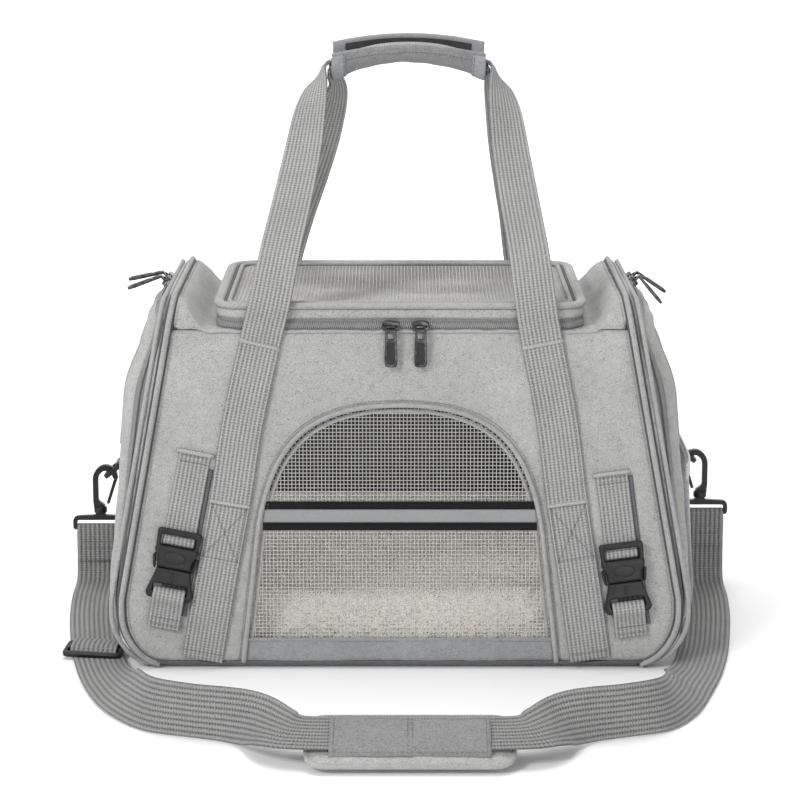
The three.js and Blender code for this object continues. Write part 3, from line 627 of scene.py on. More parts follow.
def metal(name, color, rough=0.32):
    """Plated zinc: smooth, a little cloudy, and brighter where it is rubbed."""
    finish = Finish(name, rough, metallic=1.0)
    cloud = finish.noise(4, 4.0)
    finish.paint(finish.ramp(cloud, (0.3, color), (0.75, linear_mix(color, grey(0.3), 0.4))))
    return finish.bump(finish.noise(0.5, 2.0), 0.02).material


HEATHER = cloth("heather_fabric", linear(116, 116, 115), linear(194, 194, 193))
PAD_CLOTH = cloth("pad_fabric", linear(88, 88, 88), linear(156, 156, 156))
BAND = cloth("band_fabric", linear(104, 105, 107), linear(166, 167, 169))
PIPING = cloth("piping_fabric", linear(128, 128, 128), linear(186, 186, 185), thread=0.8, sheen=0.15)
BINDING = cloth("binding_fabric", linear(116, 118, 123), linear(172, 174, 179), thread=0.8)
# Near-black lining cloth. Its colour is painted shade where it is used: inside the bag behind the window, in
# the lid's groove between binding and inner piping, and inside the grip's trough.
SHADE_LINING = cloth("shade_lining_fabric", linear(44, 44, 44), linear(76, 76, 75))
TAPE = cloth("zip_tape", linear(104, 104, 104), linear(146, 146, 146), thread=0.9, sheen=0.1)
COIL = plastic("zip_coil", linear(150, 150, 150), 0.4)
WEBBING = woven("webbing", linear(84, 84, 84), linear(172, 172, 171), column=3.2)
# The strap is the same webbing as the handles. This darker copy paints the shade on the strap's hanging
# parts.
SHADED_STRAP_WEBBING = woven("shaded_strap_webbing", linear(52, 52, 52), linear(150, 150, 149))
DARK_WEBBING = woven("dark_webbing", linear(48, 49, 51), linear(104, 105, 107))
ELASTIC = woven("elastic", linear(150, 150, 149), linear(232, 232, 231), column=2.4, pick=1.2)
THREAD = cloth("thread", linear(112, 112, 111), linear(160, 160, 158), thread=0.5, sheen=0.1)
DARK_THREAD = cloth("dark_thread", linear(84, 84, 85), linear(126, 126, 127), thread=0.5, sheen=0.1)
NET = cloth("net_yarn", linear(168, 167, 162), linear(216, 215, 210), thread=0.7, sheen=0.1, wear=0.05)
WHITE_NET = cloth("pocket_yarn", linear(170, 170, 170), linear(222, 222, 222), thread=0.7, sheen=0.1,
                  wear=0.05)
FLEECE = cloth("fleece", linear(236, 231, 218), linear(254, 251, 243), thread=2.4, sheen=0.5, wear=0.05)
BLACK = plastic("buckle_plastic", linear(8, 8, 9), 0.5)
PLUG_BLACK = plastic("pull_insert", linear(12, 12, 13), 0.55)
GUNMETAL = metal("gunmetal", linear(50, 50, 53))
BOARD_CLOTH = cloth("board_cloth", linear(42, 42, 44), linear(66, 66, 68))
TAPE_EDGE = cloth("reflector_edge", linear(16, 16, 17), linear(30, 30, 31), thread=0.9, sheen=0.1)
REFLECTOR = cloth("reflector_face", linear(142, 143, 144), linear(160, 161, 162), thread=0.7, sheen=0.1,
                  wear=0.04)


# ------------------------------------------------------------------ camera, light and floor

CAMERA_AT, CAMERA_DIP = (0, -2.14, 0.64), math.radians(11.97)
BAG_MIDDLE = (0, 0, 0.2)
LIGHTS = [  # name, place, target, size in metres and power in watts
    ("key", (-1.7, -2.3, 1.9), BAG_MIDDLE, 1.0, 50),
    ("fill", (0.7, -3.2, 0.55), (0, 0, 0.05), 1.2, 24),
    ("top", (-0.2, 0.3, 2.8), BAG_MIDDLE, 1.8, 34),
    ("rim", (0.6, 2.2, 1.6), BAG_MIDDLE, 1.6, 18),
    ("backdrop", (0, 1.4, 1.8), (0, 3.3, 1.2), 2.4, 40),
]


def add_stage():
    """A plain floor that rises into a backdrop, as one white sheet."""
    bend, reach, far, high = 700.0, 5000.0, 2600.0, 4200.0
    angle = np.linspace(0, math.pi / 2, 16)
    curve = [(far + bend * math.sin(t), bend * (1 - math.cos(t))) for t in angle]
    row = np.array([[0, y, z] for y, z in [(-4000.0, 0.0), *curve, (far + bend, high)]])
    grid = np.stack([row + np.array([x, 0, 0]) for x in np.linspace(-reach, reach, 5)])
    finish = Finish("floor_white", 0.9, specular=0.1)
    grain = finish.noise(400, 2.0)
    finish.paint(finish.ramp(grain, (0.0, grey(0.93)), (1.0, grey(0.95))))
    form = Form().add(grid, grid_faces(*grid.shape[:2]))
    floor = piece("studio_floor", form, finish.material, body=None)
    if floor.data.polygons[0].normal.z < 0:
        floor.data.flip_normals()


def add_light(name, place, target, size, power):
    """A round soft light that faces its target."""
    data = bpy.data.lights.new(name, "AREA")
    data.shape = "DISK"
    data.size = size
    data.energy = power
    lamp = bpy.data.objects.new(name, data)
    lamp.location = place
    lamp.rotation_mode = "QUATERNION"
    lamp.rotation_quaternion = (Vector(target) - Vector(place)).to_track_quat("-Z", "Y")
    bpy.context.scene.collection.objects.link(lamp)


def add_camera():
    """The camera, about two metres in front of the bag, above it and dipped towards it."""
    data = bpy.data.cameras.new("camera")
    data.lens = 119.7
    data.sensor_width = 36
    data.clip_end = 100
    camera = bpy.data.objects.new("camera", data)
    camera.location = CAMERA_AT
    camera.rotation_euler = (math.pi / 2 - CAMERA_DIP, 0, 0)
    bpy.context.scene.collection.objects.link(camera)
    bpy.context.scene.camera = camera


def add_air():
    """Even white light from all round."""
    world = bpy.data.worlds.new("studio_air")
    world.use_nodes = True
    air = world.node_tree.nodes["Background"]
    air.inputs["Color"].default_value = (1, 1, 1, 1)
    air.inputs["Strength"].default_value = 0.5
    bpy.context.scene.world = world
    bpy.context.scene.view_settings.view_transform = "Standard"


add_camera()
add_air()
add_stage()
for light in LIGHTS:
    add_light(*light)

# ------------------------------------------------------------------ webbing

WEB_THICK = 1.6


def web_profile(width, thick=WEB_THICK, ribs=8):
    """The section of a webbing: rounded ribs side by side on both faces."""
    per_rib = 4
    u = np.linspace(-1, 1, ribs * per_rib + 1)
    swell = 0.72 + 0.28 * np.abs(np.sin(np.linspace(0, ribs * math.pi, len(u))))
    swell[0] = swell[-1] = 0.35
    top = np.stack([u * width / 2, swell * thick / 2], -1)
    return np.concatenate([top, top[::-1] * [1, -1]])


def web(form, rows, width, thick=WEB_THICK, ribs=8, step=3.0):
    """Webbing along rows: x, y, z, the three numbers of its width's direction, and its pinch, if any."""
    line = spline(rows, step)
    origin, across = line[:, :3], line[:, 3:6]
    pinch = line[:, 6:7] if line.shape[1] > 6 else np.ones((len(line), 1))
    along = tangents(origin)
    a = unit(across - along * (across * along).sum(-1, keepdims=True))
    b = np.cross(along, a)
    sweep(form, web_profile(width, thick, ribs), origin, a * pinch, b)
    return origin, a, b


def webbing(name, rows, width, material=WEBBING, body=BAG, thick=WEB_THICK, ribs=8, step=3.0, **rest):
    """A piece of webbing along rows."""
    form = Form()
    web(form, rows, width, thick, ribs, step)
    return piece(name, form, material, body, slot="webbing", **rest)


# ------------------------------------------------------------------ shoulder strap, pad and slide

STRAP_WEB, STRAP_THICK = 40.0, 1.8
RING_Y = 109.0
SIDES = {"left": (-1, 107.0), "right": (1, 121.0)}  # which way it faces, and the height of its ring
HOOK_DROP, STRAP_X = 51.0, 261.0
PAD = {"x": 7.0, "y": -353.0, "z": 14.4, "half": 75.0, "width": 62.0, "thick": 9.0, "slope": 0.3}
STRAP_HALF = [
    ((-262, 109, 46), 0), ((-262, 108, 20), 0), ((-262, 103, 6), 0), ((-262, 92, 1.8), 0),
    ((-261, 60, 1.6), 0), ((-257, 10, 1.6), 0), ((-251, -40, 1.6), 0), ((-243, -95, 1.6), 0),
    ((-232, -150, 3.2), 0.08), ((-219, -203, 10), 0.42), ((-204, -252, 18), 0.95),
    ((-183, -287, 20.6), 1.35), ((-152, -303, 21), 1.5), ((-126, -312, 21), 1.4),
    ((-106, -324, 21.5), 1), ((-90, -342, 22), 0.5), ((-74, -351, 21), PAD["slope"]),
    ((-40, PAD["y"], 20.8), PAD["slope"]),
]


def strap_rows():
    """The shoulder strap's line from the left eye to the right one, with its width's direction."""
    points = np.array([at for at, _ in STRAP_HALF], float)
    way = np.gradient(points, axis=0)
    way[:, 2] = 0
    way[:3] = (0, -1, 0)
    way = unit(way)
    roll = np.array([r for _, r in STRAP_HALF])
    across = np.stack([-way[:, 1] * np.cos(roll), way[:, 0] * np.cos(roll), np.sin(roll)], -1)
    left = np.hstack([points, across])
    right = left * [-1, 1, 1, -1, 1, 1]
    right[:, 0] += PAD["x"] * 2 * smooth_step(200, 330, -points[:, 1])
    right[0, 2] = SIDES["right"][1] - HOOK_DROP - 10
    middle = [[PAD["x"], PAD["y"], 20.8, 0, math.cos(PAD["slope"]), math.sin(PAD["slope"])]]
    return np.vstack([left, middle, right[::-1]])


def add_strap():
    """The shoulder strap, with its line and its length in metres."""
    form = Form()
    origin, _, _ = web(form, strap_rows(), STRAP_WEB, STRAP_THICK, ribs=10)
    strap = piece("shoulder_strap_web", form, SHADED_STRAP_WEBBING, slot="webbing", stands_for=["shoulder_strap"])
    length = np.linalg.norm(np.diff(origin, axis=0), axis=1).sum() * MM
    return strap, origin, length


def pad_place(u, v, out=0.0):
    """A point on the pad: u along it, v across it, and out above its middle."""
    c, s = math.cos(PAD["slope"]), math.sin(PAD["slope"])
    return np.stack([PAD["x"] + u, PAD["y"] + v * c - out * s, PAD["z"] + v * s + out * c], -1)


def add_pad():
    """A quilted pad with a bound edge, and a sleeve on it that the strap runs through."""
    half, width, thick = PAD["half"] - 2.5, PAD["width"] / 2 - 2.5, PAD["thick"] / 2
    outline = box_loop(-half, half, -width, width, 15)
    shares = np.sin(np.linspace(0, 1, 14) * math.pi / 2)
    rings = outline[:, None] * shares[None, :, None]
    u, v = rings[..., 0], rings[..., 1]
    crown = (1 - shares[None, :] ** 4) * (thick - 1.4)
    dents = 0.9 * np.exp(-(u / 2.2) ** 2) + 0.35 * ripple(np.stack([u, v, 0 * u], -1), 22, 3)
    top = pad_place(u, v, 1.4 + crown - dents * (1 - shares[None, :] ** 6))
    low = pad_place(u, v, -1.4 - crown)
    pad = piece("pad_cushion", slab(Form(), top, low, wrap=True), HEATHER, slot="heather_fabric",
                stands_for=["shoulder_pad"])
    edge = box_loop(-half - 0.4, half + 0.4, -width - 0.4, width + 0.4, 15)
    form = Form()
    tube(form, pad_place(edge[:, 0], edge[:, 1]), 2.1, closed=True)
    piping = piece("pad_binding", form, PIPING, slot="piping_fabric")
    sleeve_half = 57.0
    v = np.linspace(-width * 0.78, width * 0.78, 30)
    rise = thick - 0.4 + 4.6 * (1 - np.abs(v / v[0]) ** 5)
    u = np.linspace(-sleeve_half, sleeve_half, 40)
    uu, vv = np.meshgrid(u, v, indexing="ij")
    puff = rise[None] + 0.3 * ripple(np.stack([uu, vv, 0 * uu], -1), 26, 5)
    form = slab(Form(), pad_place(uu, vv, puff), pad_place(uu, vv, puff - 1.2))
    sleeve = piece("pad_sleeve", form, PAD_CLOTH, slot="heather_fabric")
    seams = Form()
    normal = np.array([0, -math.sin(PAD["slope"]), math.cos(PAD["slope"])])
    for at in (-sleeve_half + 3, sleeve_half - 3, -1.6, 1.6):
        line = np.linspace(-width * 0.7, width * 0.7, 30)
        stitches(seams, pad_place(at + 0 * line, line, np.interp(line, v, rise) + 0.45), normal)
    for at in (-width * 0.72, width * 0.72):
        line = np.linspace(-sleeve_half, sleeve_half, 60)
        stitches(seams, pad_place(line, at + 0 * line, np.interp(at, v, rise) + 0.5), normal)
    thread = piece("pad_stitches", seams, THREAD)
    return [pad, piping, sleeve, thread]


def add_strap_loops():
    """Each end of the strap goes round its eye's bar and is sewn down on itself."""
    found = []
    for side, (sign, ring_z) in SIDES.items():
        bar = ring_z - HOOK_DROP - 6.2
        x = sign * (STRAP_X + 1)
        turn = np.linspace(0, math.pi, 9)
        loop = [(x, RING_Y + 1 + 3.0 * math.cos(t), bar - 0.4 + 3.0 * math.sin(t), 1, 0, 0) for t in turn]
        rows = [(x, RING_Y + 3.6, bar - 40, 1, 0, 0), (x, RING_Y + 3.4, bar - 16, 1, 0, 0), *loop,
                (x, RING_Y - 1.6, bar - 6, 1, 0, 0), (x, RING_Y - 2.6, bar - 30, 1, 0, 0)]
        found.append(webbing(f"{side}_strap_loop", rows, STRAP_WEB - 1, SHADED_STRAP_WEBBING, ribs=10))
        rows_of_thread = Form()
        across = np.linspace(-16, 16, 20)
        for z in (bar - 12, bar - 18):
            line = np.stack([x + across, 0 * across + RING_Y - 3.6, 0 * across + z], -1)
            stitches(rows_of_thread, line, (0, -1, 0))
        found.append(piece(f"{side}_strap_stitches", rows_of_thread, DARK_THREAD))
    return found


SLIDE_AT, SLIDE_TURN, SLIDE_TILT = [-243.0, -108.0, 4.6], 0.2, 0.2


def add_adjuster():
    """The strap slide: a frame that stands up a little, with the strap over its rear and middle bars."""
    along = np.array([math.cos(SLIDE_TURN), -math.sin(SLIDE_TURN), 0])
    back = np.array([math.sin(SLIDE_TURN), math.cos(SLIDE_TURN), 0])
    place = placing(SLIDE_AT, along, back * math.cos(SLIDE_TILT) + np.array([0, 0, math.sin(SLIDE_TILT)]))
    outlines = [box_loop(-24, 24, -12, 10, 4.5, 1.0)]
    outlines += [box_loop(-20.8, 20.8, low, low + 5.6, 1.5, 1.0) for low in (-7.4, 1.8)]
    slide = cut_out("adjuster_frame", outlines, 0, 3.6, place, BLACK, "adjuster", slot="buckle_plastic",
                    stands_for=["strap_slide"])
    run = [(19, -3.4), (14, 1.8), (9.5, 5.0), (0, 5.2), (-4.6, 1.6), (-5.2, -2.4), (-3.4, -3.1)]
    line = moved(place, spline([(0, v, w) for v, w in run], 1.5))
    rows = np.hstack([line, np.tile(along, (len(line), 1))])
    turn = webbing("adjuster_web", rows, STRAP_WEB - 2, SHADED_STRAP_WEBBING, "adjuster", 1.4, ribs=10)
    return [slide, turn]


strap, strap_path, strap_length = add_strap()
strap_pieces = [*add_pad(), *add_strap_loops(), *add_adjuster()]

# ------------------------------------------------------------------ cloth panels laid on the form

def normals_at(place, uv, centre=(0, 0, 130)):
    """Unit normals of a surface at (u, v), turned away from centre."""
    small = 0.05
    scale = np.array([small / 125 if abs(uv[..., 0]).max() <= 1.001 else small, small])
    du = place(uv + [scale[0], 0]) - place(uv - [scale[0], 0])
    dv = place(uv + [0, scale[1]]) - place(uv - [0, scale[1]])
    normals = unit(np.cross(du, dv))
    at = place(uv)
    turned = (normals * (at - np.array(centre))).sum(-1, keepdims=True)
    return np.where(turned < 0, -normals, normals)


def lifted(place, line, out):
    """The points of a line (u, v) on a surface, this far out of it."""
    return place(line) + normals_at(place, line) * out


def sew(form, place, line, out, **rest):
    """A row of stitches along a line (u, v) on a surface."""
    return stitches(form, lifted(place, line, out), normals_at(place, line), **rest)


def level(out):
    """Relief that is the same all over."""
    return lambda grid, share: out + 0 * grid[..., 0]


def strip(name, place, inner, outer, material, body=BAG, relief=None, thick=2.4, wrap=False, columns=18,
          **rest):
    """Cloth between two lines of the same length, drawn in (u, v) on a surface.

    relief gives how far it stands out, from its points and its share of the way to the outer line.
    """
    share = np.linspace(0, 1, columns)
    uv = inner[:, None] + (outer - inner)[:, None] * share[None, :, None]
    grid = place(uv)
    normals = grid_normals(grid, wrap)
    out = relief(grid, share[None]) if relief else 0 * grid[..., 0]
    outside = grid + normals * out[..., None]
    return piece(name, slab(Form(), outside, outside - normals * thick, wrap), material, body, **rest)


def pulled_in(depth, reach, wrinkle=0.5, size=34, seed=1):
    """Relief of sewn cloth: pulled in along both seams, and a little wavy."""

    def relief(grid, share):
        edge = np.exp(-share * reach) + np.exp(-(1 - share) * reach)
        fine = 0.25 * ripple(grid, 11, seed + 7)
        return wrinkle * ripple(grid, size, seed) * (1 - edge) + fine - depth * edge

    return relief


def net(name, place, left, right, low, high, inside, material, body=BAG, pitch=2.9, thread=0.52, out=0.0,
        diagonal=False, **rest):
    """An open net with square holes, as one sheet. inside says which points (u, v) it covers."""
    u = np.arange(left, right + pitch, pitch)
    v = np.arange(low, high + pitch, pitch)
    corners = np.stack(np.meshgrid(u, v, indexing="ij"), -1)
    if diagonal:
        middle = np.array([(left + right) / 2, (low + high) / 2])
        spin = np.array([[0.7071, -0.7071], [0.7071, 0.7071]])
        corners = (corners - middle) * 1.5 @ spin + middle
        pitch = pitch * 1.5
    centres = (corners[:-1, :-1] + corners[1:, 1:]) / 2
    kept = np.argwhere(inside(centres))
    columns = corners.shape[1]
    flat = corners.reshape(-1, 2)
    number = kept[:, 0] * columns + kept[:, 1]
    around = np.stack([number, number + columns, number + columns + 1, number + 1], -1)
    centre = centres[kept[:, 0], kept[:, 1]][:, None]
    hole = centre + (flat[around] - centre) * (1 - thread / pitch)
    used, index = np.unique(around, return_inverse=True)
    index = index.reshape(around.shape)
    knots, rims = flat[used], hole.reshape(-1, 2)
    uv = np.concatenate([knots, rims])
    at, normals = place(uv), normals_at(place, uv)
    lift = np.concatenate([np.full(len(knots), 0.34), np.full(len(rims), 0.2)])[:, None]
    front = at + normals * (out + lift)
    back = at + normals * (out - lift)
    total = len(uv)
    ring = len(knots) + np.arange(len(rims)).reshape(-1, 4)
    faces = []
    for k in range(4):
        n = (k + 1) % 4
        faces.append(np.stack([index[:, k], index[:, n], ring[:, n], ring[:, k]], -1))
        faces.append(faces[-1][:, ::-1] + total)
        faces.append(np.stack([ring[:, k], ring[:, n], ring[:, n] + total, ring[:, k] + total], -1))
    edges = np.concatenate([np.stack([index[:, k], index[:, (k + 1) % 4]], -1) for k in range(4)])
    _, first, count = np.unique(np.sort(edges, -1), axis=0, return_index=True, return_counts=True)
    rim = edges[first[count == 1]]
    faces.append(np.stack([rim[:, 1], rim[:, 0], rim[:, 0] + total, rim[:, 1] + total], -1))
    form = Form().add(np.concatenate([front, back]), np.concatenate(faces))
    return piece(name, form, material, body, **rest)


def rope(name, points, radius, material, body=BAG, closed=False, sides=8, **rest):
    """A piece of cord or piping along points."""
    return piece(name, tube(Form(), even(points, 2.5, closed), radius, sides, closed), material, body, **rest)


# ------------------------------------------------------------------ front and back

WINDOW = {"foot": 124.0, "knee": 110.0, "knee_z": 112.0, "top": 207.0, "bottom": 23.0, "below": 10.0}
SHOULDER = 0.61  # the share of half the arch at which the panel's upper corner lies
BACK_BAND_HALF, BACK_BAND_SEAM = 200.0, 204.5  # half the band, and half the seams' distance that it fits
REFLECTOR_HALF, REFLECTOR_SEAM_HALF = 107.0, 105.0


def arch_line(margin=0.0, bottom=BASE_SEAM_Z, count=150):
    """The window's arch from its left foot to its right one, in (x, z)."""
    knee, top = WINDOW["knee"] + margin, WINDOW["top"] + margin
    foot = WINDOW["foot"] + margin
    start = knee + (foot - knee) * (WINDOW["knee_z"] - bottom) / (WINDOW["knee_z"] + WINDOW["below"])
    t = np.linspace(0, 1, 40)[:, None]
    a, b, c, d = [np.array(p) for p in
                  ((-knee, WINDOW["knee_z"]), (-knee * 0.9, top - 30), (-knee * 0.66, top), (0, top))]
    bow = (1 - t) ** 3 * a + 3 * t * (1 - t) ** 2 * b + 3 * t**2 * (1 - t) * c + t**3 * d
    half = even(np.vstack([[-start, bottom], bow]), 1.0)
    stops = np.linspace(0, len(half) - 1, count // 2)
    half = np.stack([np.interp(stops, np.arange(len(half)), column) for column in half.T], -1)
    return np.vstack([half, (half * [-1, 1])[-2::-1]])


def panel_edge(count=150):
    """The outer edge of the front panel, point by point for arch_line."""
    share = np.linspace(0, 1, count // 2)
    rise = np.clip(share / SHOULDER, 0, 1)
    z = BASE_SEAM_Z + (TOP_EDGE_Z - BASE_SEAM_Z) * rise
    x = -seam_x(z) * (1 - np.clip((share - SHOULDER) / (1 - SHOULDER), 0, 1))
    half = np.stack([x, z], -1)
    return np.vstack([half, (half * [-1, 1])[-2::-1]])


def on_window(uv):
    """Whether points (x, z) lie in the window's net."""
    outline = arch_line(0.5, WINDOW["bottom"] - 3)
    return inside_outline(outline)(uv)


def add_back():
    """The back panel, which is whole, with a seam across it above the base."""
    place = face_surface(1)
    levels = np.linspace(BASE_SEAM_Z, TOP_EDGE_Z, 110)
    left, right = np.stack([-seam_x(levels), levels], -1), np.stack([seam_x(levels), levels], -1)
    strip("back_cloth", place, left, right, HEATHER, slot="heather_fabric", columns=150,
          relief=pulled_in(1.6, 30, 0.8, 70, 12), stands_for=["back_panel"])
    # Painted shade: a near-black sheet just inside the back cloth darkens the inside of the bag seen through
    # the window.
    strip("back_shade_lining", place, left * [0.985, 1], right * [0.985, 1], SHADE_LINING, slot="heather_fabric",
          columns=60, relief=level(-4.6), thick=0.8)
    x = np.linspace(-BACK_BAND_HALF, BACK_BAND_HALF, 160)
    edges = (BASE_SEAM_Z, WINDOW["bottom"])
    band = [np.stack([x * seam_x(z) / BACK_BAND_SEAM, 0 * x + z], -1) for z in edges]
    strip("back_band", place, *band, BAND, slot="band_fabric", columns=12, thick=1.0,
          relief=lambda grid, share: 1.2 + 0.3 * ripple(grid, 40, 9) - np.exp(-(1 - share) * 9))
    seams = Form()
    for z in (WINDOW["bottom"] - 2.5, WINDOW["bottom"] + 3.0):
        sew(seams, place, np.stack([x, 0 * x + z], -1), 1.1)
    piece("back_band_stitches", seams, THREAD)


def add_front():
    """The front panel round its window, and the band under the window."""
    place = face_surface(-1)
    strip("front_cloth", place, arch_line(), panel_edge(), HEATHER, slot="heather_fabric",
          relief=pulled_in(1.6, 16, 0.55, 42, 2), columns=34, stands_for=["front_panel"])
    levels = np.linspace(BASE_SEAM_Z, WINDOW["bottom"], 40)
    rise = WINDOW["knee_z"] + WINDOW["below"]
    reach = WINDOW["knee"] + (WINDOW["foot"] - WINDOW["knee"]) * (WINDOW["knee_z"] - levels) / rise - 0.5
    left, right = np.stack([-reach, levels], -1), np.stack([reach, levels], -1)
    strip("front_band", place, left, right, BAND, slot="band_fabric", columns=90,
          relief=pulled_in(0.4, 60, 0.4, 40, 8))


def add_front_window():
    """The front window's mesh, with its piping, stitches, sill and binding."""
    place = face_surface(-1)
    net("front_net", place, -122, 122, WINDOW["bottom"] - 2, WINDOW["top"], on_window, NET,
        slot="window_net", out=-1.6, stands_for=["front_window_net"])
    arch = arch_line(0.6, BASE_SEAM_Z + 1)
    rope("front_window_piping", lifted(place, arch, 0.9), 2.0, PIPING, slot="piping_fabric")
    seams = Form()
    for margin, lift, low in ((4.2, 0.1, BASE_SEAM_Z + 3), (-3.4, -0.4, WINDOW["bottom"])):
        sew(seams, place, arch_line(margin, low), lift)
    piece("front_window_stitches", seams, THREAD)
    sill = np.stack([np.linspace(-121, 121, 90), np.full(90, WINDOW["bottom"] + 0.4)], -1)
    rope("front_sill", lifted(place, sill, -0.4), 1.5, BAND, slot="band_fabric")
    inner, outer = arch_line(-5.4, WINDOW["bottom"]), arch_line(-2.6, WINDOW["bottom"])
    strip("front_window_binding", place, inner, outer, PIPING, slot="piping_fabric", columns=6, thick=1.5,
          relief=level(-0.9))


def add_reflector():
    """Reflective tape across the front window, between two dark woven edges."""
    place = face_surface(-1)
    for name, low, high, material, lift in (("lower", 109.6, 116.4, TAPE_EDGE, 0.5),
                                            ("middle", 116.0, 126.0, REFLECTOR, 0.9),
                                            ("upper", 125.6, 132.4, TAPE_EDGE, 0.5)):
        levels = np.linspace(low, high, 6)
        ends = [np.stack([np.full(6, x), levels], -1) for x in (-REFLECTOR_HALF, REFLECTOR_HALF)]
        stands_for = ["reflective_strip"] if name == "middle" else []
        strip(f"reflector_{name}", place, *ends, material, slot="reflective_tape", columns=80, thick=0.6,
              relief=lambda grid, share, lift=lift: lift - 0.6 + 0.25 * ripple(grid, 60, 21),
              stands_for=stands_for)
    seams = Form()
    x = np.linspace(-REFLECTOR_SEAM_HALF, REFLECTOR_SEAM_HALF, 80)
    for z in (111.6, 130.4):
        sew(seams, place, np.stack([x, 0 * x + z], -1), 0.3)
    piece("reflector_stitches", seams, TAPE_EDGE)


# ------------------------------------------------------------------ ends, doors and their zips

ENDS = (("left", -1), ("right", 1))
DOOR = {"front": -0.93, "back": 0.70, "bottom": 24.0, "top": 282.0, "corner": 30.0, "low_corner": 8.0}
DOOR_WINDOW = {"front": -78.0, "back": 62.0, "bottom": 165.0, "top": 260.0, "corner": 22.0}
POCKET = {"front": -92.0, "back": 76.0, "bottom": 34.0, "top": 150.0, "corner": 12.0}
VIEW_MIDDLE_Z, POCKET_MIDDLE_Z = 212.0, 90.0
SHARE = 125.0  # millimetres for one half depth, when an outline is drawn on an end
WAY_TOP = ROOF_START + ROOF_REACH


def door_line(margin=0.0, step=2.0):
    """The door's outline in (share, way), grown by margin."""
    low, high = DOOR["bottom"] - margin, DOOR["top"] + margin
    front, back = DOOR["front"] * SHARE - margin, DOOR["back"] * SHARE + margin
    low_corner, corner = DOOR["low_corner"], DOOR["corner"]
    corners = [(front, low, low_corner), (back, low, low_corner), (back, high, corner), (front, high, corner)]
    return rounded(corners, step) / [SHARE, 1]


def cast_out(line, outline, centre):
    """Each point of line, moved straight away from centre until it meets a closed outline."""
    a, b = outline, np.roll(outline, -1, axis=0)
    found = []
    for point in line:
        way = point - centre
        edge = b - a
        cross = way[0] * edge[:, 1] - way[1] * edge[:, 0]
        cross = np.where(np.abs(cross) < 1e-9, 1e-9, cross)
        rel = a - centre
        t = (rel[:, 0] * edge[:, 1] - rel[:, 1] * edge[:, 0]) / cross
        s = (rel[:, 0] * way[1] - rel[:, 1] * way[0]) / cross
        good = (t > 0) & (s >= -1e-6) & (s <= 1 + 1e-6)
        found.append(centre + way * t[good].min())
    return np.array(found)


def end_window(margin=0.0):
    """The outline of a door's window in (share, way), grown by margin."""
    front, back, low, high = (DOOR_WINDOW[key] for key in ("front", "back", "bottom", "top"))
    line = box_loop(front - margin, back + margin, low - margin, high + margin, DOOR_WINDOW["corner"])
    return line / [half_depth(VIEW_MIDDLE_Z), 1]


def open_part(line, low):
    """The part of a closed outline above a height, as one run."""
    above = line[:, 1] > low
    start = int(np.argmax(above & ~np.roll(above, 1)))
    rolled = np.roll(line, -start, axis=0)
    return rolled[rolled[:, 1] > low]


def add_gusset(side_name, place):
    """The cloth frame round an end door, as far as the piping."""
    hole = door_line(6.6)
    outer = np.array([[-1, BASE_SEAM_Z], [1, BASE_SEAM_Z], [1, WAY_TOP], [-1, WAY_TOP]])
    centre = np.array([-0.1, 150.0])
    strip(f"{side_name}_gusset", place, hole, cast_out(hole, outer, centre), HEATHER, wrap=True,
          slot="heather_fabric", relief=pulled_in(0.7, 9, 0.4, 30, 11), columns=16,
          stands_for=[f"{side_name}_end_frame"])
    seams = sew(Form(), place, open_part(door_line(9.4), 14), 0.3)
    piece(f"{side_name}_gusset_stitches", seams, THREAD)


def add_end_zip(side_name, side, place):
    """Both tapes of a door's zip, and the two coils that lie over its line."""
    door_body = f"{side_name}_door"
    for name, inner, rim, body in (("outer_tape", door_line(0.8), door_line(8.0), BAG),
                                   ("inner_tape", door_line(-9.0), door_line(-0.8), door_body)):
        strip(f"{side_name}_{name}", place, inner, matched(rim, inner), TAPE, body, wrap=True, columns=5,
              thick=1.0, relief=level(-0.7))
    run = open_part(door_line(), DOOR["bottom"] + 6)
    for name, way, body in (("outer", -1, BAG), ("inner", 1, door_body)):
        coil = zip_row(Form(), lifted(place, run, 0.5), normals_at(place, run), way * side)
        piece(f"{side_name}_{name}_coil", coil, COIL, body)


def add_door(side_name, place):
    """A door's cloth, padded round its edge, with the piping and stitches of its window."""
    body = f"{side_name}_door"
    window = end_window()
    edge = cast_out(window, door_line(-6.2), np.array([-0.06, VIEW_MIDDLE_Z]))

    def puff(grid, share):
        rim = np.exp(-((grid[..., 2] - 150) / 400) ** 2)
        to_edge = np.linalg.norm(grid - grid[:, -1:], axis=-1)
        to_view = np.linalg.norm(grid - grid[:, :1], axis=-1)
        roll = 4.6 * rim * np.sin(np.clip(to_edge / 21, 0, 1) * math.pi) ** 0.8
        lining = 1.6 * np.sin(np.clip(to_view / 16, 0, 1) * math.pi)
        return roll + lining + 0.5 * ripple(grid, 38, 5) * np.clip(to_edge / 8, 0, 1) - 0.8

    strip(f"{side_name}_door_cloth", place, window, edge, HEATHER, body, wrap=True, relief=puff,
          columns=64, slot="heather_fabric", stands_for=[f"{side_name}_door"])
    rope(f"{side_name}_door_window_piping", lifted(place, end_window(0.4), 0.9), 1.8, PIPING, body,
         closed=True, slot="piping_fabric")
    seams = Form()
    for line, out in ((end_window(4.0), 0.7), (end_window(16.5), 0.7), (door_line(-24.0), 0.1)):
        sew(seams, place, line, out, closed=True)
    piece(f"{side_name}_door_stitches", seams, THREAD, body)


def add_door_net(side_name, place):
    """The mesh in a door's window, drawn in (y, z) so that its holes are square."""
    test = inside_outline(end_window(0.5))
    scale = [half_depth(VIEW_MIDDLE_Z), 1]
    view = [DOOR_WINDOW[key] for key in ("front", "back", "bottom", "top")]
    net(f"{side_name}_door_mesh", lambda uv: place(uv / scale), *view, lambda uv: test(uv / scale), NET,
        f"{side_name}_door", out=-1.5, slot="window_net", stands_for=[f"{side_name}_door_net"])


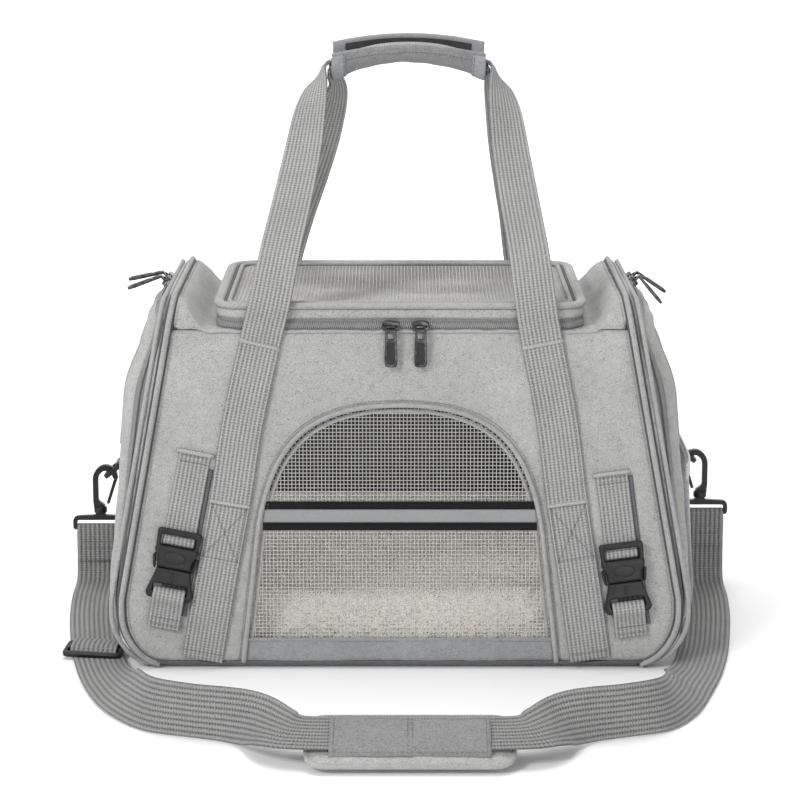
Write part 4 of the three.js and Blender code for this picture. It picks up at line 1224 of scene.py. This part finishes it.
def add_door_fold(side_name, place):
    """The strip of cloth that the door hinges on, along its lower edge."""
    share = np.linspace(DOOR["front"] + 0.05, DOOR["back"] - 0.05, 60)
    ways = np.linspace(15, 29, 15)
    uv = np.stack(np.meshgrid(share, ways, indexing="ij"), -1)
    grid = place(uv)
    normals = grid_normals(grid)
    form = slab(Form(), grid + normals * 0.5, grid - normals * 1.6)
    fold = piece(f"{side_name}_door_fold", form, HEATHER, body=None, slot="heather_fabric")
    middle = place(np.array([[0.0, 21.0]]))[0]
    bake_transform(fold)


def add_pocket():
    """A net pocket on the right door, with an elastic top and a bound edge."""
    surface = end_surface(1)
    body = "right_door"
    front, back, low, high = POCKET["front"], POCKET["back"], POCKET["bottom"], POCKET["top"]
    middle_y, half_y, rise = (front + back) / 2, (back - front) / 2, high - low
    scale = [half_depth(POCKET_MIDDLE_Z), 1]

    def place(uv):
        share = uv / scale
        bulge = 4.5 * np.clip(1 - ((uv[..., 0] - middle_y) / half_y) ** 4, 0, 1)
        bulge = 5.0 + bulge * np.clip((uv[..., 1] - low) / rise, 0, 1)
        return surface(share) + normals_at(surface, share) * bulge[..., None]

    outline = box_loop(front, back, low, high, POCKET["corner"])
    net("pocket_net", place, front, back, low, high, inside_outline(outline), WHITE_NET, body, pitch=3.4,
        thread=0.9, diagonal=True, slot="window_net", stands_for=["net_pocket"])
    sides = box_loop(front, back, low, high - 2, POCKET["corner"])
    rope("pocket_binding", place(sides) - normals_at(surface, sides / scale) * 1.4, 2.2, BINDING, body,
         closed=True, slot="piping_fabric")
    across = np.linspace(front + 1, back - 1, 110)
    rows = np.stack([across, np.full(110, high - 5)], -1)
    puckers = 0.5 * np.sin(across * 1.5)
    origin = place(rows) + normals_at(surface, rows / scale) * (0.6 + puckers[:, None] * 0.4)
    form = Form()
    up = np.tile([0.0, 0, 1], (110, 1))
    along = tangents(origin)
    sweep(form, web_profile(12, 1.8, 5), origin, up, np.cross(along, up))
    piece("pocket_elastic", form, ELASTIC, body, slot="piping_fabric")


# ------------------------------------------------------------------ top panel, pipings and base

def add_top():
    """The top panel round the opening for the lid."""
    hole = box_loop(-138, 138, -106, 98, 22)
    steps = np.linspace(-1, 1, 60)
    side_x = seam_x(HEIGHT) - 0.5
    rim = TOP_HALF_DEPTH + 2.2
    outer = np.vstack([
        np.stack([steps * side_x, 0 * steps - rim], -1), np.stack([0 * steps + side_x, steps * rim], -1),
        np.stack([-steps * side_x, 0 * steps + rim], -1), np.stack([0 * steps - side_x, -steps * rim], -1)])
    strip("top_cloth", top_surface, hole, cast_out(hole, outer, np.array([0.0, -4.0])), HEATHER, wrap=True,
          slot="heather_fabric", relief=pulled_in(0.5, 12, 0.4, 30, 31), columns=26, stands_for=["top_panel"])


def piping_route(side, out, shift=0.0):
    """Up the front, over the end hoop and down the back, this far out and shifted towards the end."""
    start = HEIGHT - TOP_SIDE_RADIUS
    z = np.concatenate([np.linspace(3, 50, 16), np.linspace(56, start, 40)])
    rise = np.stack([side * (seam_x(z) + shift), -half_depth(z) - out, z], -1)
    turn = np.linspace(0.15, math.pi / 2, 9)
    shoulder = half_depth(start) - TOP_SIDE_RADIUS
    bend_z = start + (TOP_SIDE_RADIUS + out) * np.sin(turn)
    bend_x = side * (seam_x(np.minimum(bend_z, HEIGHT)) + shift)
    bend = np.stack([bend_x, -shoulder - (TOP_SIDE_RADIUS + out) * np.cos(turn), bend_z], -1)
    front = np.vstack([rise, bend])
    across = np.linspace(-shoulder + 6, shoulder - 6, 30)
    top = np.stack([0 * across + side * (SEAM_TOP_X + shift), across, 0 * across + HEIGHT + out], -1)
    return np.vstack([front, top, (front * [1, -1, 1])[::-1]])


def add_piping(side_name, side):
    """The piping over the bag at one end, its second line, its seam stitches, and a thin dark rope on each
    side of the piping that paints the shadow in its seam.
    """
    rope(f"{side_name}_seam_piping", piping_route(side, 1.6), 2.3, PIPING, slot="piping_fabric",
         stands_for=[f"{side_name}_piping"])
    rope(f"{side_name}_end_piping", piping_route(side, -0.6, 8.0), 1.9, PIPING, slot="piping_fabric")
    # Painted shadow: thin dark ropes on both sides of the piping stand for the shade in the seam beside it.
    for name, shift in (("inner", -2.7), ("outer", 3.0)):
        rope(f"{side_name}_{name}_seam", piping_route(side, -0.1, shift), 0.9, DARK_WEBBING,
             slot="piping_fabric")
    seams = Form()
    line = piping_route(side, 0.15, -5.4)
    stitches(seams, line, unit(line - [side * 170.0, 0, 110]))
    piece(f"{side_name}_seam_stitches", seams, THREAD)


def section_line(z, out=0.0, count=24):
    """The bag's outline at one height."""
    turn = np.linspace(-math.pi / 2, math.pi / 2, count)
    x = seam_x(z) + (dome_depth(z) + out) * np.cos(turn)
    y = (half_depth(z) + out) * np.sign(np.sin(turn)) * np.sqrt(np.abs(np.sin(turn)))
    right = np.stack([x, y, 0 * turn + z], -1)
    return np.vstack([right, right * [-1, -1, 1]])


def add_base():
    """The base panel, with its seam all round."""
    rings = [section_line(z, out) for z, out in ((0.0, -3.0), (0.4, -1.0), (2.0, 0.0), (BASE_SEAM_Z, 0.0))]
    inside = [section_line(z, -2.5) for z in (BASE_SEAM_Z, 3.0)]
    grid = np.stack([*rings, *inside])
    rows, columns = grid.shape[:2]
    form = Form()
    form.cap(list(range(columns)))
    form.cap(list(range((rows - 1) * columns, rows * columns))[::-1])
    form.add(grid, grid_faces(rows, columns, False, True))
    piece("base_cloth", form, BAND, slot="band_fabric", stands_for=["base_panel"])
    rope("base_seam", section_line(BASE_SEAM_Z + 0.2, 0.5, 40), 1.5, DARK_WEBBING, closed=True,
         slot="band_fabric")


def add_inside():
    """The fleece mat on its covered board."""
    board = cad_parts["base_board"]
    board.data.materials.clear()
    board.data.materials.append(BOARD_CLOTH)
    bevel(board, 1.2)
    low, high, half, front, back = 10.0, 40.0, 167.0, -111.0, 111.0
    middle = [(0, front - 3, 12), (0, front - 1, 25), (0, front + 6, 38), (0, front + 15, 46),
              (0, front + 27, 47), (0, front + 44, high),
              (0, 0, high - 2), (0, 40, high), (0, 70, 43), (0, 86, 54), (0, 93, 70), (0, 96, 84)]
    upper = spline(middle, 3.0)
    lower = upper * [1, 1, 0] + [0, 0, low]
    tip = upper[:, 1] > 70
    lower[tip] = np.stack([0 * upper[tip, 0], np.interp(upper[tip, 2], [43, 84], [86, back]),
                           np.interp(upper[tip, 2], [43, 60, 84], [low, 30, 82])], -1)
    x = np.linspace(-1, 1, 112)
    edge = np.clip(1 - np.abs(x) ** 14, 0, 1) ** 0.5
    near = np.interp(lower[:, 1], [front, front + 26, back - 20, back], [0.97, 1, 1, 0.95])
    core = (upper + lower) / 2
    top, under = [core[None] + (line - core)[None] * edge[:, None, None] for line in (upper, lower)]
    top[..., 0] = under[..., 0] = x[:, None] * half * near[None]
    normals = grid_normals(top, centre=(0, 60, -200))
    tufts = 0.9 * ripple(top, 9, 41) + 0.4 * ripple(top, 5, 42) + 1.6 * ripple(top, 60, 43)
    top = top + normals * (tufts * edge[:, None])[..., None]
    mat = piece("mat_fleece", slab(Form(), top, under), FLEECE, "mat", slot="fleece",
                stands_for=["fleece_mat"])
    loops = Form()
    random = np.random.default_rng(7)
    pick = random.integers(0, top.shape[0] * top.shape[1], 9000)
    at, out = top.reshape(-1, 3)[pick], normals.reshape(-1, 3)[pick]
    lean = unit(out + random.normal(size=out.shape) * 0.7)
    side = unit(np.cross(lean, random.normal(size=out.shape)))
    scatter(loops, spindle(3.6, 0.9), SPINDLE_FACES, at + lean * 0.9, lean, side, np.cross(lean, side))
    piece("mat_pile", loops, FLEECE, "mat", slot="fleece")


# ------------------------------------------------------------------ lid

LID = {"half_x": 144.0, "front": -113.0, "back": 104.0, "corner": 26.0, "rim": 14.0}
ZIP_Z = 269.2


def lid_loop(inset=0.0):
    """The lid's outline, this far inside it, and the level way out of it at each point."""
    half = LID["half_x"] - inset
    loop = box_loop(-half, half, LID["front"] + inset, LID["back"] - inset, LID["corner"] - inset * 0.5)
    along = tangents(loop, True)
    return loop, np.stack([along[:, 1], -along[:, 0]], -1)


def with_z(points, z=0.0):
    """Points (x, y) at one height."""
    return np.hstack([points, np.full((len(points), 1), z)])


def ring_sweep(profile):
    """A profile (out, z) carried round the lid."""
    loop, out = lid_loop()
    up = np.tile([0.0, 0, 1], (len(loop), 1))
    return sweep(Form(), profile, with_z(loop), with_z(out), up, closed=True)


def oval(out, z, half_width, half_height, sides=12):
    """The section of a padded edge round the lid."""
    return circle(1, sides) * [half_width, half_height] + [out, z]


def add_lid_frame():
    """The lid's sewn frame: binding, piping, flange, wall and stitches."""
    body = "lid"
    piece("lid_binding", ring_sweep(oval(-2.4, 284.2, 4.2, 2.6)), PIPING, body, slot="heather_fabric",
          stands_for=["lid_frame"])
    piece("lid_inner_piping", ring_sweep(oval(-10.8, 284.6, 1.9, 1.9, 8)), PIPING, body, slot="piping_fabric")
    flange = [(-2.0, 284.4), (-6.5, 284.9), (-12.5, 284.3), (-12.5, 283.0), (-6.5, 283.0), (-2.0, 282.6)]
    # The near-black flange darkens the groove between the binding and the inner piping: painted shade.
    piece("lid_flange", ring_sweep(flange), SHADE_LINING, body, slot="heather_fabric")
    wall = [(-0.7, 282.8), (0.1, 279.5), (-0.1, 276.4), (-0.8, 274.2), (-2.4, 274.2), (-2.0, 278.5),
            (-2.6, 282.8)]
    piece("lid_gusset", ring_sweep(wall), HEATHER, body, slot="heather_fabric")
    seams = Form()
    loop, out = lid_loop()
    for z, stand in ((281.6, -0.2), (274.9, -0.4)):
        stitches(seams, with_z(loop + out * stand, z), with_z(out), closed=True)
    stitches(seams, with_z(loop - out * 7.4, 284.9), (0, 0, 1), closed=True)
    piece("lid_stitches", seams, THREAD, body)


def add_lid_zip():
    """The lid zip's tape and coil on the lid, and its tape and coil on the bag."""
    lid_tape = [(-1.1, 275.0), (-1.1, 269.9), (-2.2, 269.9), (-2.2, 275.0)]
    top_tape = [(-1.1, 268.5), (-0.8, 263.6), (-2.4, 263.6), (-2.2, 268.5)]
    loop, out = lid_loop()
    start = int(np.argmin(np.abs(loop[:, 0]) * 0.01 - loop[:, 1]))
    around, facing = np.roll(with_z(loop + out * -0.6, ZIP_Z), -start, 0), np.roll(with_z(out), -start, 0)
    run = around[:, 1] < LID["back"] - 4
    for name, section, way, body in (("lid", lid_tape, 1, "lid"), ("top", top_tape, -1, BAG)):
        piece(f"{name}_tape", ring_sweep(section), TAPE, body)
        piece(f"{name}_coil", zip_row(Form(), around[run], facing[run], way, 1.6), COIL, body)


def add_lid_net():
    """The lid's mesh, which sags in its frame."""
    rim = LID["rim"] - 2.5
    low, high = LID["front"] + rim, LID["back"] - rim
    half, middle, reach = LID["half_x"] - rim, (low + high) / 2, (high - low) / 2

    def place(uv):
        x, y = uv[..., 0], uv[..., 1]
        sag = 7.0 * np.clip(1 - (x / half) ** 4, 0, 1) * np.clip(1 - ((y - middle) / reach) ** 2, 0, 1)
        wave = 0.8 * ripple(np.stack([x * 0.4, y, 0 * x], -1), 46, 51)
        return np.stack([x, y, 283.6 - sag + wave * sag / 7], -1)

    outline, _ = lid_loop(rim)
    net("lid_mesh", place, -half, half, low, high, inside_outline(outline), NET, "lid", slot="window_net",
        stands_for=["lid_net"])


def add_lid_fold():
    """The strip of cloth that the lid hinges on, along its rear edge."""
    x = np.linspace(-112, 112, 60)
    bend = [(111.5, 266.9), (106.2, 267.6), (104.9, 270), (104.6, 276), (104.2, 282)]
    line = spline([(0, y, z) for y, z in bend], 0.8)
    grid = line[None] + x[:, None, None] * [1, 0, 0]
    normals = grid_normals(grid)
    fold = piece("lid_fold", slab(Form(), grid + normals * 0.7, grid - normals * 0.5), HEATHER, body=None,
                 slot="heather_fabric")
    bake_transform(fold)


add_front()
add_front_window()
add_back()
add_reflector()
for end_name, end_side in ENDS:
    end_place = end_surface(end_side)
    add_gusset(end_name, end_place)
    add_end_zip(end_name, end_side, end_place)
    add_door(end_name, end_place)
    add_door_net(end_name, end_place)
    add_door_fold(end_name, end_place)
add_pocket()
add_top()
for end_name, end_side in ENDS:
    add_piping(end_name, end_side)
add_base()
add_inside()
add_lid_frame()
add_lid_zip()
add_lid_net()
add_lid_fold()


# ------------------------------------------------------------------ handles and grip

HANDLE_WEB, HANDLE_THICK, BUCKLE_WEB = 32.0, 2.6, 25.0
HANDLE_FOLD_Y, HANDLE_FOLD_Z = 118.5, 262.0
WRAP = {"x": 7.0, "half": 61.0, "z": 478.0, "half_width": 20.0, "drop": 13.0, "flap": 7.0}
HANDLE_HALF = [  # x, y (None on the panel), z and turn
    (-155, None, 8, 0), (-144, None, 70, 0), (-133, None, 128, 0), (-122, None, 195, 0),
    (-107, None, HANDLE_FOLD_Z, 0), (-101, -118, 290, 0), (-95, -97, 325, 0.05), (-88, -68, 358, 0.12),
    (-81, -40, 394, 0.28), (-76, -24, 425, 0.55), (-72, -13, 442, 0.95), (-67, -4, 455, math.pi / 2),
    (-62, 0, 461, math.pi / 2), (-54, 0, 464.6, math.pi / 2), (-38, 0, 470, math.pi / 2),
    (-20, 0, 474, math.pi / 2),
]
FOOT_SHIFT, TOP_SHIFT = -6.0, 2.0
STAND_OFF, GRIP_PINCH = 2.4, 0.8
BACK_FALL = 14.0  # how far the back handle's left side has fallen towards the middle


def handle_rows(side, lift):
    """One handle from its left foot over the grip to its right foot."""
    left, right = [], []
    for x, y, z, turn in HANDLE_HALF:
        out = half_depth(z) + STAND_OFF if y is None else -y
        grip = max((z - TOP_SEAM_Z) / (WRAP["z"] - TOP_SEAM_Z), 0)
        aside = lift * math.sin(turn)
        pinch = 1 + (GRIP_PINCH - 1) * turn / (math.pi / 2)
        foot = (FOOT_SHIFT + (TOP_SHIFT - FOOT_SHIFT) * z / TOP_SEAM_Z) * (1 - grip)
        middle = WRAP["x"] * grip
        fallen = BACK_FALL * np.interp(z, [280, 420, 440, 461], [0, 1, 0.9, 0]) if side > 0 else 0
        across, depth = math.cos(turn), side * math.sin(turn)
        left.append([x - aside + middle + fallen, side * out, z + aside, across, depth, 0, pinch])
        right.append([aside - x + foot + middle, side * out, z + aside, -across, depth, 0, pinch])
    top = [WRAP["x"], 0, WRAP["z"] - 2.6 + lift, 0, side, 0, GRIP_PINCH]
    return [*left, top, *right[::-1]]


def add_handles():
    """The front and back handles, whose upper parts fold outwards above the panels."""
    for name, side, lift in (("front", -1, 1.6), ("back", 1, -1.2)):
        form = Form()
        origin, a, b = web(form, handle_rows(side, lift), HANDLE_WEB, HANDLE_THICK, 10)
        feet = [f"{name}_{foot}_handle_foot" for foot in ("left", "right")]
        handle = piece(f"{name}_handle_web", form, WEBBING, body=None, slot="webbing",
                       stands_for=[f"{name}_handle", *feet])
        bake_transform(handle)
        add_handle_stitches(name, origin, a, b)


def add_handle_stitches(name, origin, a, out):
    """Two rows up each foot, a bar at its top and a boxed cross half way up."""
    out = np.where(((origin - [0, 0, 130]) * out).sum(-1, keepdims=True) > 0, out, -out)
    seams, folds = Form(), Form()
    half = HANDLE_WEB / 2 - 2.2
    low_end = origin[:, 2] < HANDLE_FOLD_Z - 6
    for half_bag in (-1, 1):
        foot = low_end & (origin[:, 0] * half_bag > 0)
        at, across, face = origin[foot], a[foot], out[foot]
        if at[0, 2] > at[-1, 2]:
            at, across, face = at[::-1], across[::-1], face[::-1]
        height = at[:, 2]

        def spot(z, u):
            """A point on the foot at a height, u to the side of its middle."""
            return np.array([np.interp(z, height, (at + across * u + face * 1.2)[:, k]) for k in range(3)])

        normal = face[len(face) // 2]
        for u in (-half, half):
            line = np.array([spot(z, u) for z in np.linspace(12, 255, 90)])
            stitches(seams, line, normal, pitch=3.4)
        box_low, box_high = 88.0, 129.0
        corners = [(box_low, -half), (box_low, half), (box_high, half), (box_high, -half)]
        runs = [(corners[i], corners[(i + 1) % 4]) for i in range(4)]
        runs += [(corners[0], corners[2]), (corners[1], corners[3])]
        runs += [((z, -half), (z, half)) for z in (254, 14)]
        for (z0, u0), (z1, u1) in runs:
            share = np.linspace(0, 1, 16)
            line = np.array([spot(z0 + (z1 - z0) * t, u0 + (u1 - u0) * t) for t in share])
            stitches(seams, line + normal * 0.15, normal, pitch=2.6)
        for z in (131.0, 255.0):
            fold = np.array([spot(z, u) for u in np.linspace(-half - 2.2, half + 2.2, 9)]) - normal * 0.6
            tube(folds, fold, 1.7)
    piece(f"{name}_handle_stitches", seams, DARK_THREAD)
    piece(f"{name}_handle_folds", folds, WEBBING, slot="webbing")


def add_grip():
    """The padded grip: a lined trough that opens upwards, with bound edges and a taped band at each end."""
    body = "back_loop"
    t = np.linspace(-1, 1, 96)
    rim_z = WRAP["z"] - 2.5 - 7.0 * t**2
    depth = WRAP["drop"] - 2.0 + 8.0 * t**2
    turn = np.linspace(math.pi, 2 * math.pi, 34)
    flap_points = 6
    out_y = np.concatenate([WRAP["half_width"] * np.cos(turn), [WRAP["half_width"]] * flap_points])
    sink = np.concatenate([np.sin(turn), [0] * flap_points])
    flap = np.concatenate([0 * turn, np.linspace(0.8, WRAP["flap"], flap_points)])
    rise = rim_z[:, None] + depth[:, None] * sink[None] + flap[None]
    x = WRAP["x"] + t[:, None] * WRAP["half"] + 0 * rise
    flat = np.stack([x, out_y[None] + 0 * rise, rise], -1)
    normals = grid_normals(flat, centre=(WRAP["x"], 0, 482))
    puff = 1.6 * np.clip(1 - t**10, 0, 1)[:, None] * np.sin(np.linspace(0, math.pi, rise.shape[1]))[None]
    creases = 0.5 * ripple(flat * [1, 0.4, 0.4], 12, 61)
    outer = flat + normals * (puff + creases)[..., None]
    shell = slab(Form(), outer, outer - normals * 2.4)
    piece("grip_cloth", shell, PAD_CLOTH, body, slot="heather_fabric", stands_for=["grip_wrap"])
    lining = slab(Form(), outer - normals * 2.5, outer - normals * 4.4)
    # The near-black lining is painted shade inside the trough.
    piece("grip_lining", lining, SHADE_LINING, body, slot="heather_fabric")
    core = outer - normals * 2.2
    rims = [("front", core[:, 0], PAD_CLOTH), ("back", core[:, -1], BAND)]
    for name, line, material in rims:
        rope(f"grip_{name}_binding", line, 2.5, material, body, sides=10, slot="piping_fabric")
    seams = Form()
    for name, rows in (("left", slice(0, 9)), ("right", slice(-9, None))):
        band, out = outer[rows], normals[rows]
        tape = slab(Form(), band + out * 0.9, band - out * 4.8)
        piece(f"grip_{name}_end", tape, BINDING, body, slot="piping_fabric")
        at = 7 if name == "left" else 1
        stitches(seams, band[at] + out[at] * 1.0, out[at])
    inset = slice(10, -10)
    stitches(seams, outer[inset, 3] + normals[inset, 3] * 0.15, normals[inset, 3])
    piece("grip_stitches", seams, DARK_THREAD, body)


# ------------------------------------------------------------------ buckles

TAIL_ASIDE = 4.6  # how far the dark webbing under a buckle shows at its side
BUCKLES = {
    "left": {"x": -177.0, "z": 78.0, "tilt": -0.19, "above": 95.0, "below": -46.0},
    "right": {"x": 176.0, "z": 68.0, "tilt": 0.13, "above": 88.0, "below": -42.0},
}


def both_sides(corners):
    """The corners of a symmetrical outline from those of its right half, from the top down."""
    u, v, radius = corners[0]
    return [(-u, v, radius), *corners, *[(-u, v, radius) for u, v, radius in corners[:0:-1]]]


def add_buckle(side_name, place):
    """A side-release buckle: ladder and socket above, and horned tongue below."""
    lock = f"{side_name}_lock"

    def mould(name, outlines, low, high, body, edge, **rest):
        """A plastic form of the buckle that stands out of the panel from low to high."""
        cut_out(f"{side_name}_{name}", outlines, low, high, place, BLACK, body, edge, slot="buckle_plastic",
                **rest)

    ladder = [rounded([(-16.6, 18, 1), (16.6, 18, 1), (17.4, 33.5, 3), (-17.4, 33.5, 3)], 1.2),
              box_loop(-13.6, 13.6, 19.8, 28.8, 1.4, 1.2)]
    mould("ladder", ladder, 4.4, 9.2, lock, 1.2, stands_for=[f"{side_name}_buckle_lock"])
    socket = both_sides([(16.8, 20, 2), (17, 15, 2), (13.4, 10, 5), (13.6, 2.6, 1.5)])
    mould("socket", [rounded(socket, 1.0)], 0.8, 10.2, lock, 1.8)
    mould("boss", [circle(1, 39) * [8.2, 4.6] + [0, 11.2]], 9.4, 10.9, lock, 0.6)
    form = Form()
    for v in (30.6, 32.0):
        bar = np.linspace(-13, 13, 14)
        spots = moved(place, np.stack([bar, 0 * bar + v, 0 * bar + 9.2], -1))
        axes = [np.tile(place[:3, k], (14, 1)) for k in range(3)]
        scatter(form, little_box(1.1, 1.0, 0.7), CUBE_FACES, spots, *axes)
    piece(f"{side_name}_ladder_grip", form, BLACK, lock, soft_edges=0.25, slot="buckle_plastic")
    horn = rounded(both_sides([(13.2, 2.2, 1), (14.2, -3, 4), (18.8, -18.5, 3), (16.5, -22.4, 2.5)]), 1.2)
    slot = box_loop(-13.3, 13.3, -17.6, -10.6, 1.4, 1.2)
    mould("tongue", [horn, slot], 2.2, 8.4, BAG, 1.4, stands_for=[f"{side_name}_buckle_tongue"])
    for prong_name, way in (("left", -1), ("right", 1)):
        corners = [(14.2, 1, 0.8), (16.2, 1.6, 0.8), (17.9, 11.6, 1.4), (15.6, 13.4, 0.8)]
        prong = rounded([(way * u, v, radius) for u, v, radius in corners], 0.8)
        mould(f"prong_{prong_name}", [prong], 2.6, 8.0, BAG, 0.9)
    mould("tongue_rib", [box_loop(-1.2, 1.2, -8.6, -0.6, 1, 0.6)], 7.6, 9.1, BAG, 0.5)


def add_buckle_webs(side_name, place, above, below):
    """A buckle's upper and lower webs, sewn on above and below it, and the dark webbing under it."""

    def path(*stops):
        """Webbing rows from stops (up the panel, out of it)."""
        middle = moved(place, np.array([[0, v, w] for v, w in stops]))
        return np.hstack([middle, np.tile(place[:3, 0], (len(stops), 1))])

    upper = path((above, 1.1), (above - 12, 1.2), (60, 1.2), (43, 1.6), (36, 2.2), (30, 2.9), (26.4, 4.9),
                 (23.6, 5.8), (20.8, 4.4))
    upper_web = webbing(f"{side_name}_upper_webbing", upper, BUCKLE_WEB, step=2.0,
                        stands_for=[f"{side_name}_upper_web"])
    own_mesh(upper_web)
    tail = path((-34, 1.2), (-10, 0.6), (10, 0.3), (34, 0.3), (52, 0.3), (84, 0.3))
    tail[:, :3] += place[:3, 0] * TAIL_ASIDE
    webbing(f"{side_name}_tail_webbing", tail, BUCKLE_WEB - 2, DARK_WEBBING, thick=1.2, ribs=6, step=2.0)
    lower = path((below, 3.2), (-33, 3.6), (-26, 6.4), (-22.4, 9.6), (-18.4, 10.2), (-15.0, 8.0),
                 (-14.0, 5.0), (-15.6, 1.9), (-20, 0.9), (-30, 0.9), (below, 1.0))
    webbing(f"{side_name}_lower_webbing", lower, BUCKLE_WEB, step=1.5, stands_for=[f"{side_name}_lower_web"])
    seams = Form()
    for v, w in ((above - 3, 2.3), (above - 8, 2.3), (below + 3, 4.4), (below + 8, 4.5)):
        line = moved(place, np.array([[u, v, w] for u in np.linspace(-10, 10, 12)]))
        stitches(seams, line, place[:3, 2], pitch=2.6)
    piece(f"{side_name}_web_stitches", seams, DARK_THREAD)
    fold = moved(place, np.array([[u, above - 0.5, 1.2] for u in np.linspace(-14.5, 14.5, 9)]))
    piece(f"{side_name}_web_fold", tube(Form(), fold, 1.9), WEBBING, slot="webbing")


# ------------------------------------------------------------------ rings, hooks, sliders and pulls

def add_hardware():
    """The rings, hooks and eyes keep their CAD shape, with rounded edges, and get their small parts."""
    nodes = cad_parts
    for side_name, (sign, ring_z) in SIDES.items():
        for kind, width in (("d_ring", 1.1), ("hook", 1.2), ("hook_gate", 0.6), ("strap_eye", 0.9)):
            node = nodes[f"{side_name}_{kind}"]
            node.data.materials.clear()
            node.data.materials.append(BLACK)
            bevel(node, width, 3)
        collar = Form()
        z = ring_z - HOOK_DROP
        rings = [(6.6, 2.4), (7.2, 5.2), (8.0, 5.6), (11.5, 5.6), (12.4, 5.0), (13.2, 3.4)]
        sides, last = 27, len(rings) - 1
        grid = np.array([with_z(circle(radius, sides), height) for height, radius in rings])
        collar.cap(list(range(sides)))
        collar.cap(list(range(last * sides, (last + 1) * sides))[::-1])
        collar.add(grid + [sign * STRAP_X, RING_Y, z], grid_faces(last + 1, sides, False, True))
        piece(f"{side_name}_swivel", collar, BLACK, f"{side_name}_hook", slot="buckle_plastic")
        loop = [(223.6, 5.4), (233, 4.6), (240, 3.2), (244, 2.6), (246, 0), (244, -2.6), (239, -1.4),
                (232, -0.6), (223.6, -0.4)]
        rows = [(sign * x, RING_Y, ring_z + up, 0, 1, 0) for x, up in loop]
        webbing(f"{side_name}_tab_webbing", rows, BUCKLE_WEB - 4, DARK_WEBBING, thick=1.5, ribs=5, step=1.2,
                stands_for=[f"{side_name}_ring_tab"])


def add_pull(name, origin, along, out):
    """A pull tab: metal frame, black insert on both faces, and the loop on its slider."""
    place = placing(origin, np.cross(-np.array(along), np.array(out)), -np.array(along))
    body = f"{name}_pull"
    tab = rounded(both_sides([(4.2, 1.8, 1.6), (5.0, -23, 1.5), (4.6, -28, 3.6)]), 0.9)
    eye = box_loop(-2.3, 2.3, -6, -1.2, 1.0, 0.8)
    cut_out(f"{name}_tab", [tab, eye], -1.2, 1.2, place, GUNMETAL, body, edge=0.7, slot="zip_metal",
            stands_for=[f"{name}_pull"])
    insert = rounded(both_sides([(2.9, -8.4, 0.8), (3.4, -22.6, 1), (3.1, -25.8, 2.4)]), 0.9)
    cut_out(f"{name}_insert", [insert], -1.5, 1.5, place, PLUG_BLACK, body, edge=0.3, slot="zip_metal")


def add_slider(name, origin, along, out):
    """A slider: its shield, side walls, and the bridge that holds its pull, with a rear shield on the lid."""
    place = placing(origin, along, np.cross(np.array(out), np.array(along)))
    body = f"{name}_slider"
    shield = [(-6.6, -3.0, 2), (-2, -4.6, 2), (6.4, -3.3, 1.6), (6.4, 3.3, 1.6), (-2, 4.6, 2), (-6.6, 3.0, 2)]
    shield = rounded(shield, 0.8)
    cut_out(f"{name}_shield", [shield], 1.7, 3.5, place, GUNMETAL, body, edge=0.6, slot="zip_metal",
            stands_for=[f"{name}_slider"])
    if name in ("lid_left", "lid_right"):
        cut_out(f"{name}_back_shield", [shield], -1.2, 0.2, place, GUNMETAL, body, edge=0.5, slot="zip_metal")
    for way in (-1, 1):
        corners = [(-5, 4.1), (5, 3.1), (5, 2.4), (-5, 3.2)]
        wall = rounded([(u, way * v, 0.5) for u, v in corners], 0.8)
        suffix = "low" if way < 0 else "high"
        cut_out(f"{name}_wall_{suffix}", [wall], -0.6, 3.0, place, GUNMETAL, body, edge=0.3, slot="zip_metal")
    arch = np.linspace(0, math.pi, 15)
    bridge = np.stack([4.6 * np.cos(arch), 0 * arch, 3.2 + 3.4 * np.sin(arch)], -1)
    piece(f"{name}_bridge", tube(Form(), moved(place, bridge), 0.95, 8, up=place[:3, 1]), GUNMETAL, body,
          slot="zip_metal")


END_ZIP = {"x": 188.6, "z": 287.2, "lie": 0.7}
END_SLIDERS = [  # the end, its side, y, which of the end's two, and how far the pull droops
    ("left", -1, -11.0, "front", 0.35), ("left", -1, 9.0, "back", 0.2),
    ("right", 1, -11.0, "front", 0.87), ("right", 1, 9.0, "back", 0.6),
]
LID_SLIDERS = [("lid_left", -7.0, -1), ("lid_right", 16.0, 1)]  # name, x, and the way it faces


def add_zip_parts():
    """The sliders and pulls of the lid and of both ends."""
    for name, x, face in LID_SLIDERS:
        add_slider(name, (x, -114.6, ZIP_Z), (-face, 0, 0), (0, -1, 0))
        add_pull(name, (x, -122.0, 266.0), (0, 0, -1), (0, -1, 0))
    for side_name, sign, y, place_name, droop in END_SLIDERS:
        name = f"{side_name}_{place_name}"
        out = np.array([sign * math.cos(END_ZIP["lie"]), 0, math.sin(END_ZIP["lie"])])
        at = np.array([sign * END_ZIP["x"], y, END_ZIP["z"]])
        add_slider(name, at - out * 1.0, (0, -1 if place_name == "back" else 1, 0), out)
        hang = np.array([sign * math.cos(droop), 0, -math.sin(droop)])
        add_pull(name, at + out * 6.4 + hang, hang, np.cross((0, sign, 0), hang))


add_handles()
add_grip()
for buckle_name, facts in BUCKLES.items():
    buckle_place = on_front(facts["x"], facts["z"], facts["tilt"])
    add_buckle(buckle_name, buckle_place)
    add_buckle_webs(buckle_name, buckle_place, facts["above"], facts["below"])
add_hardware()
add_zip_parts()
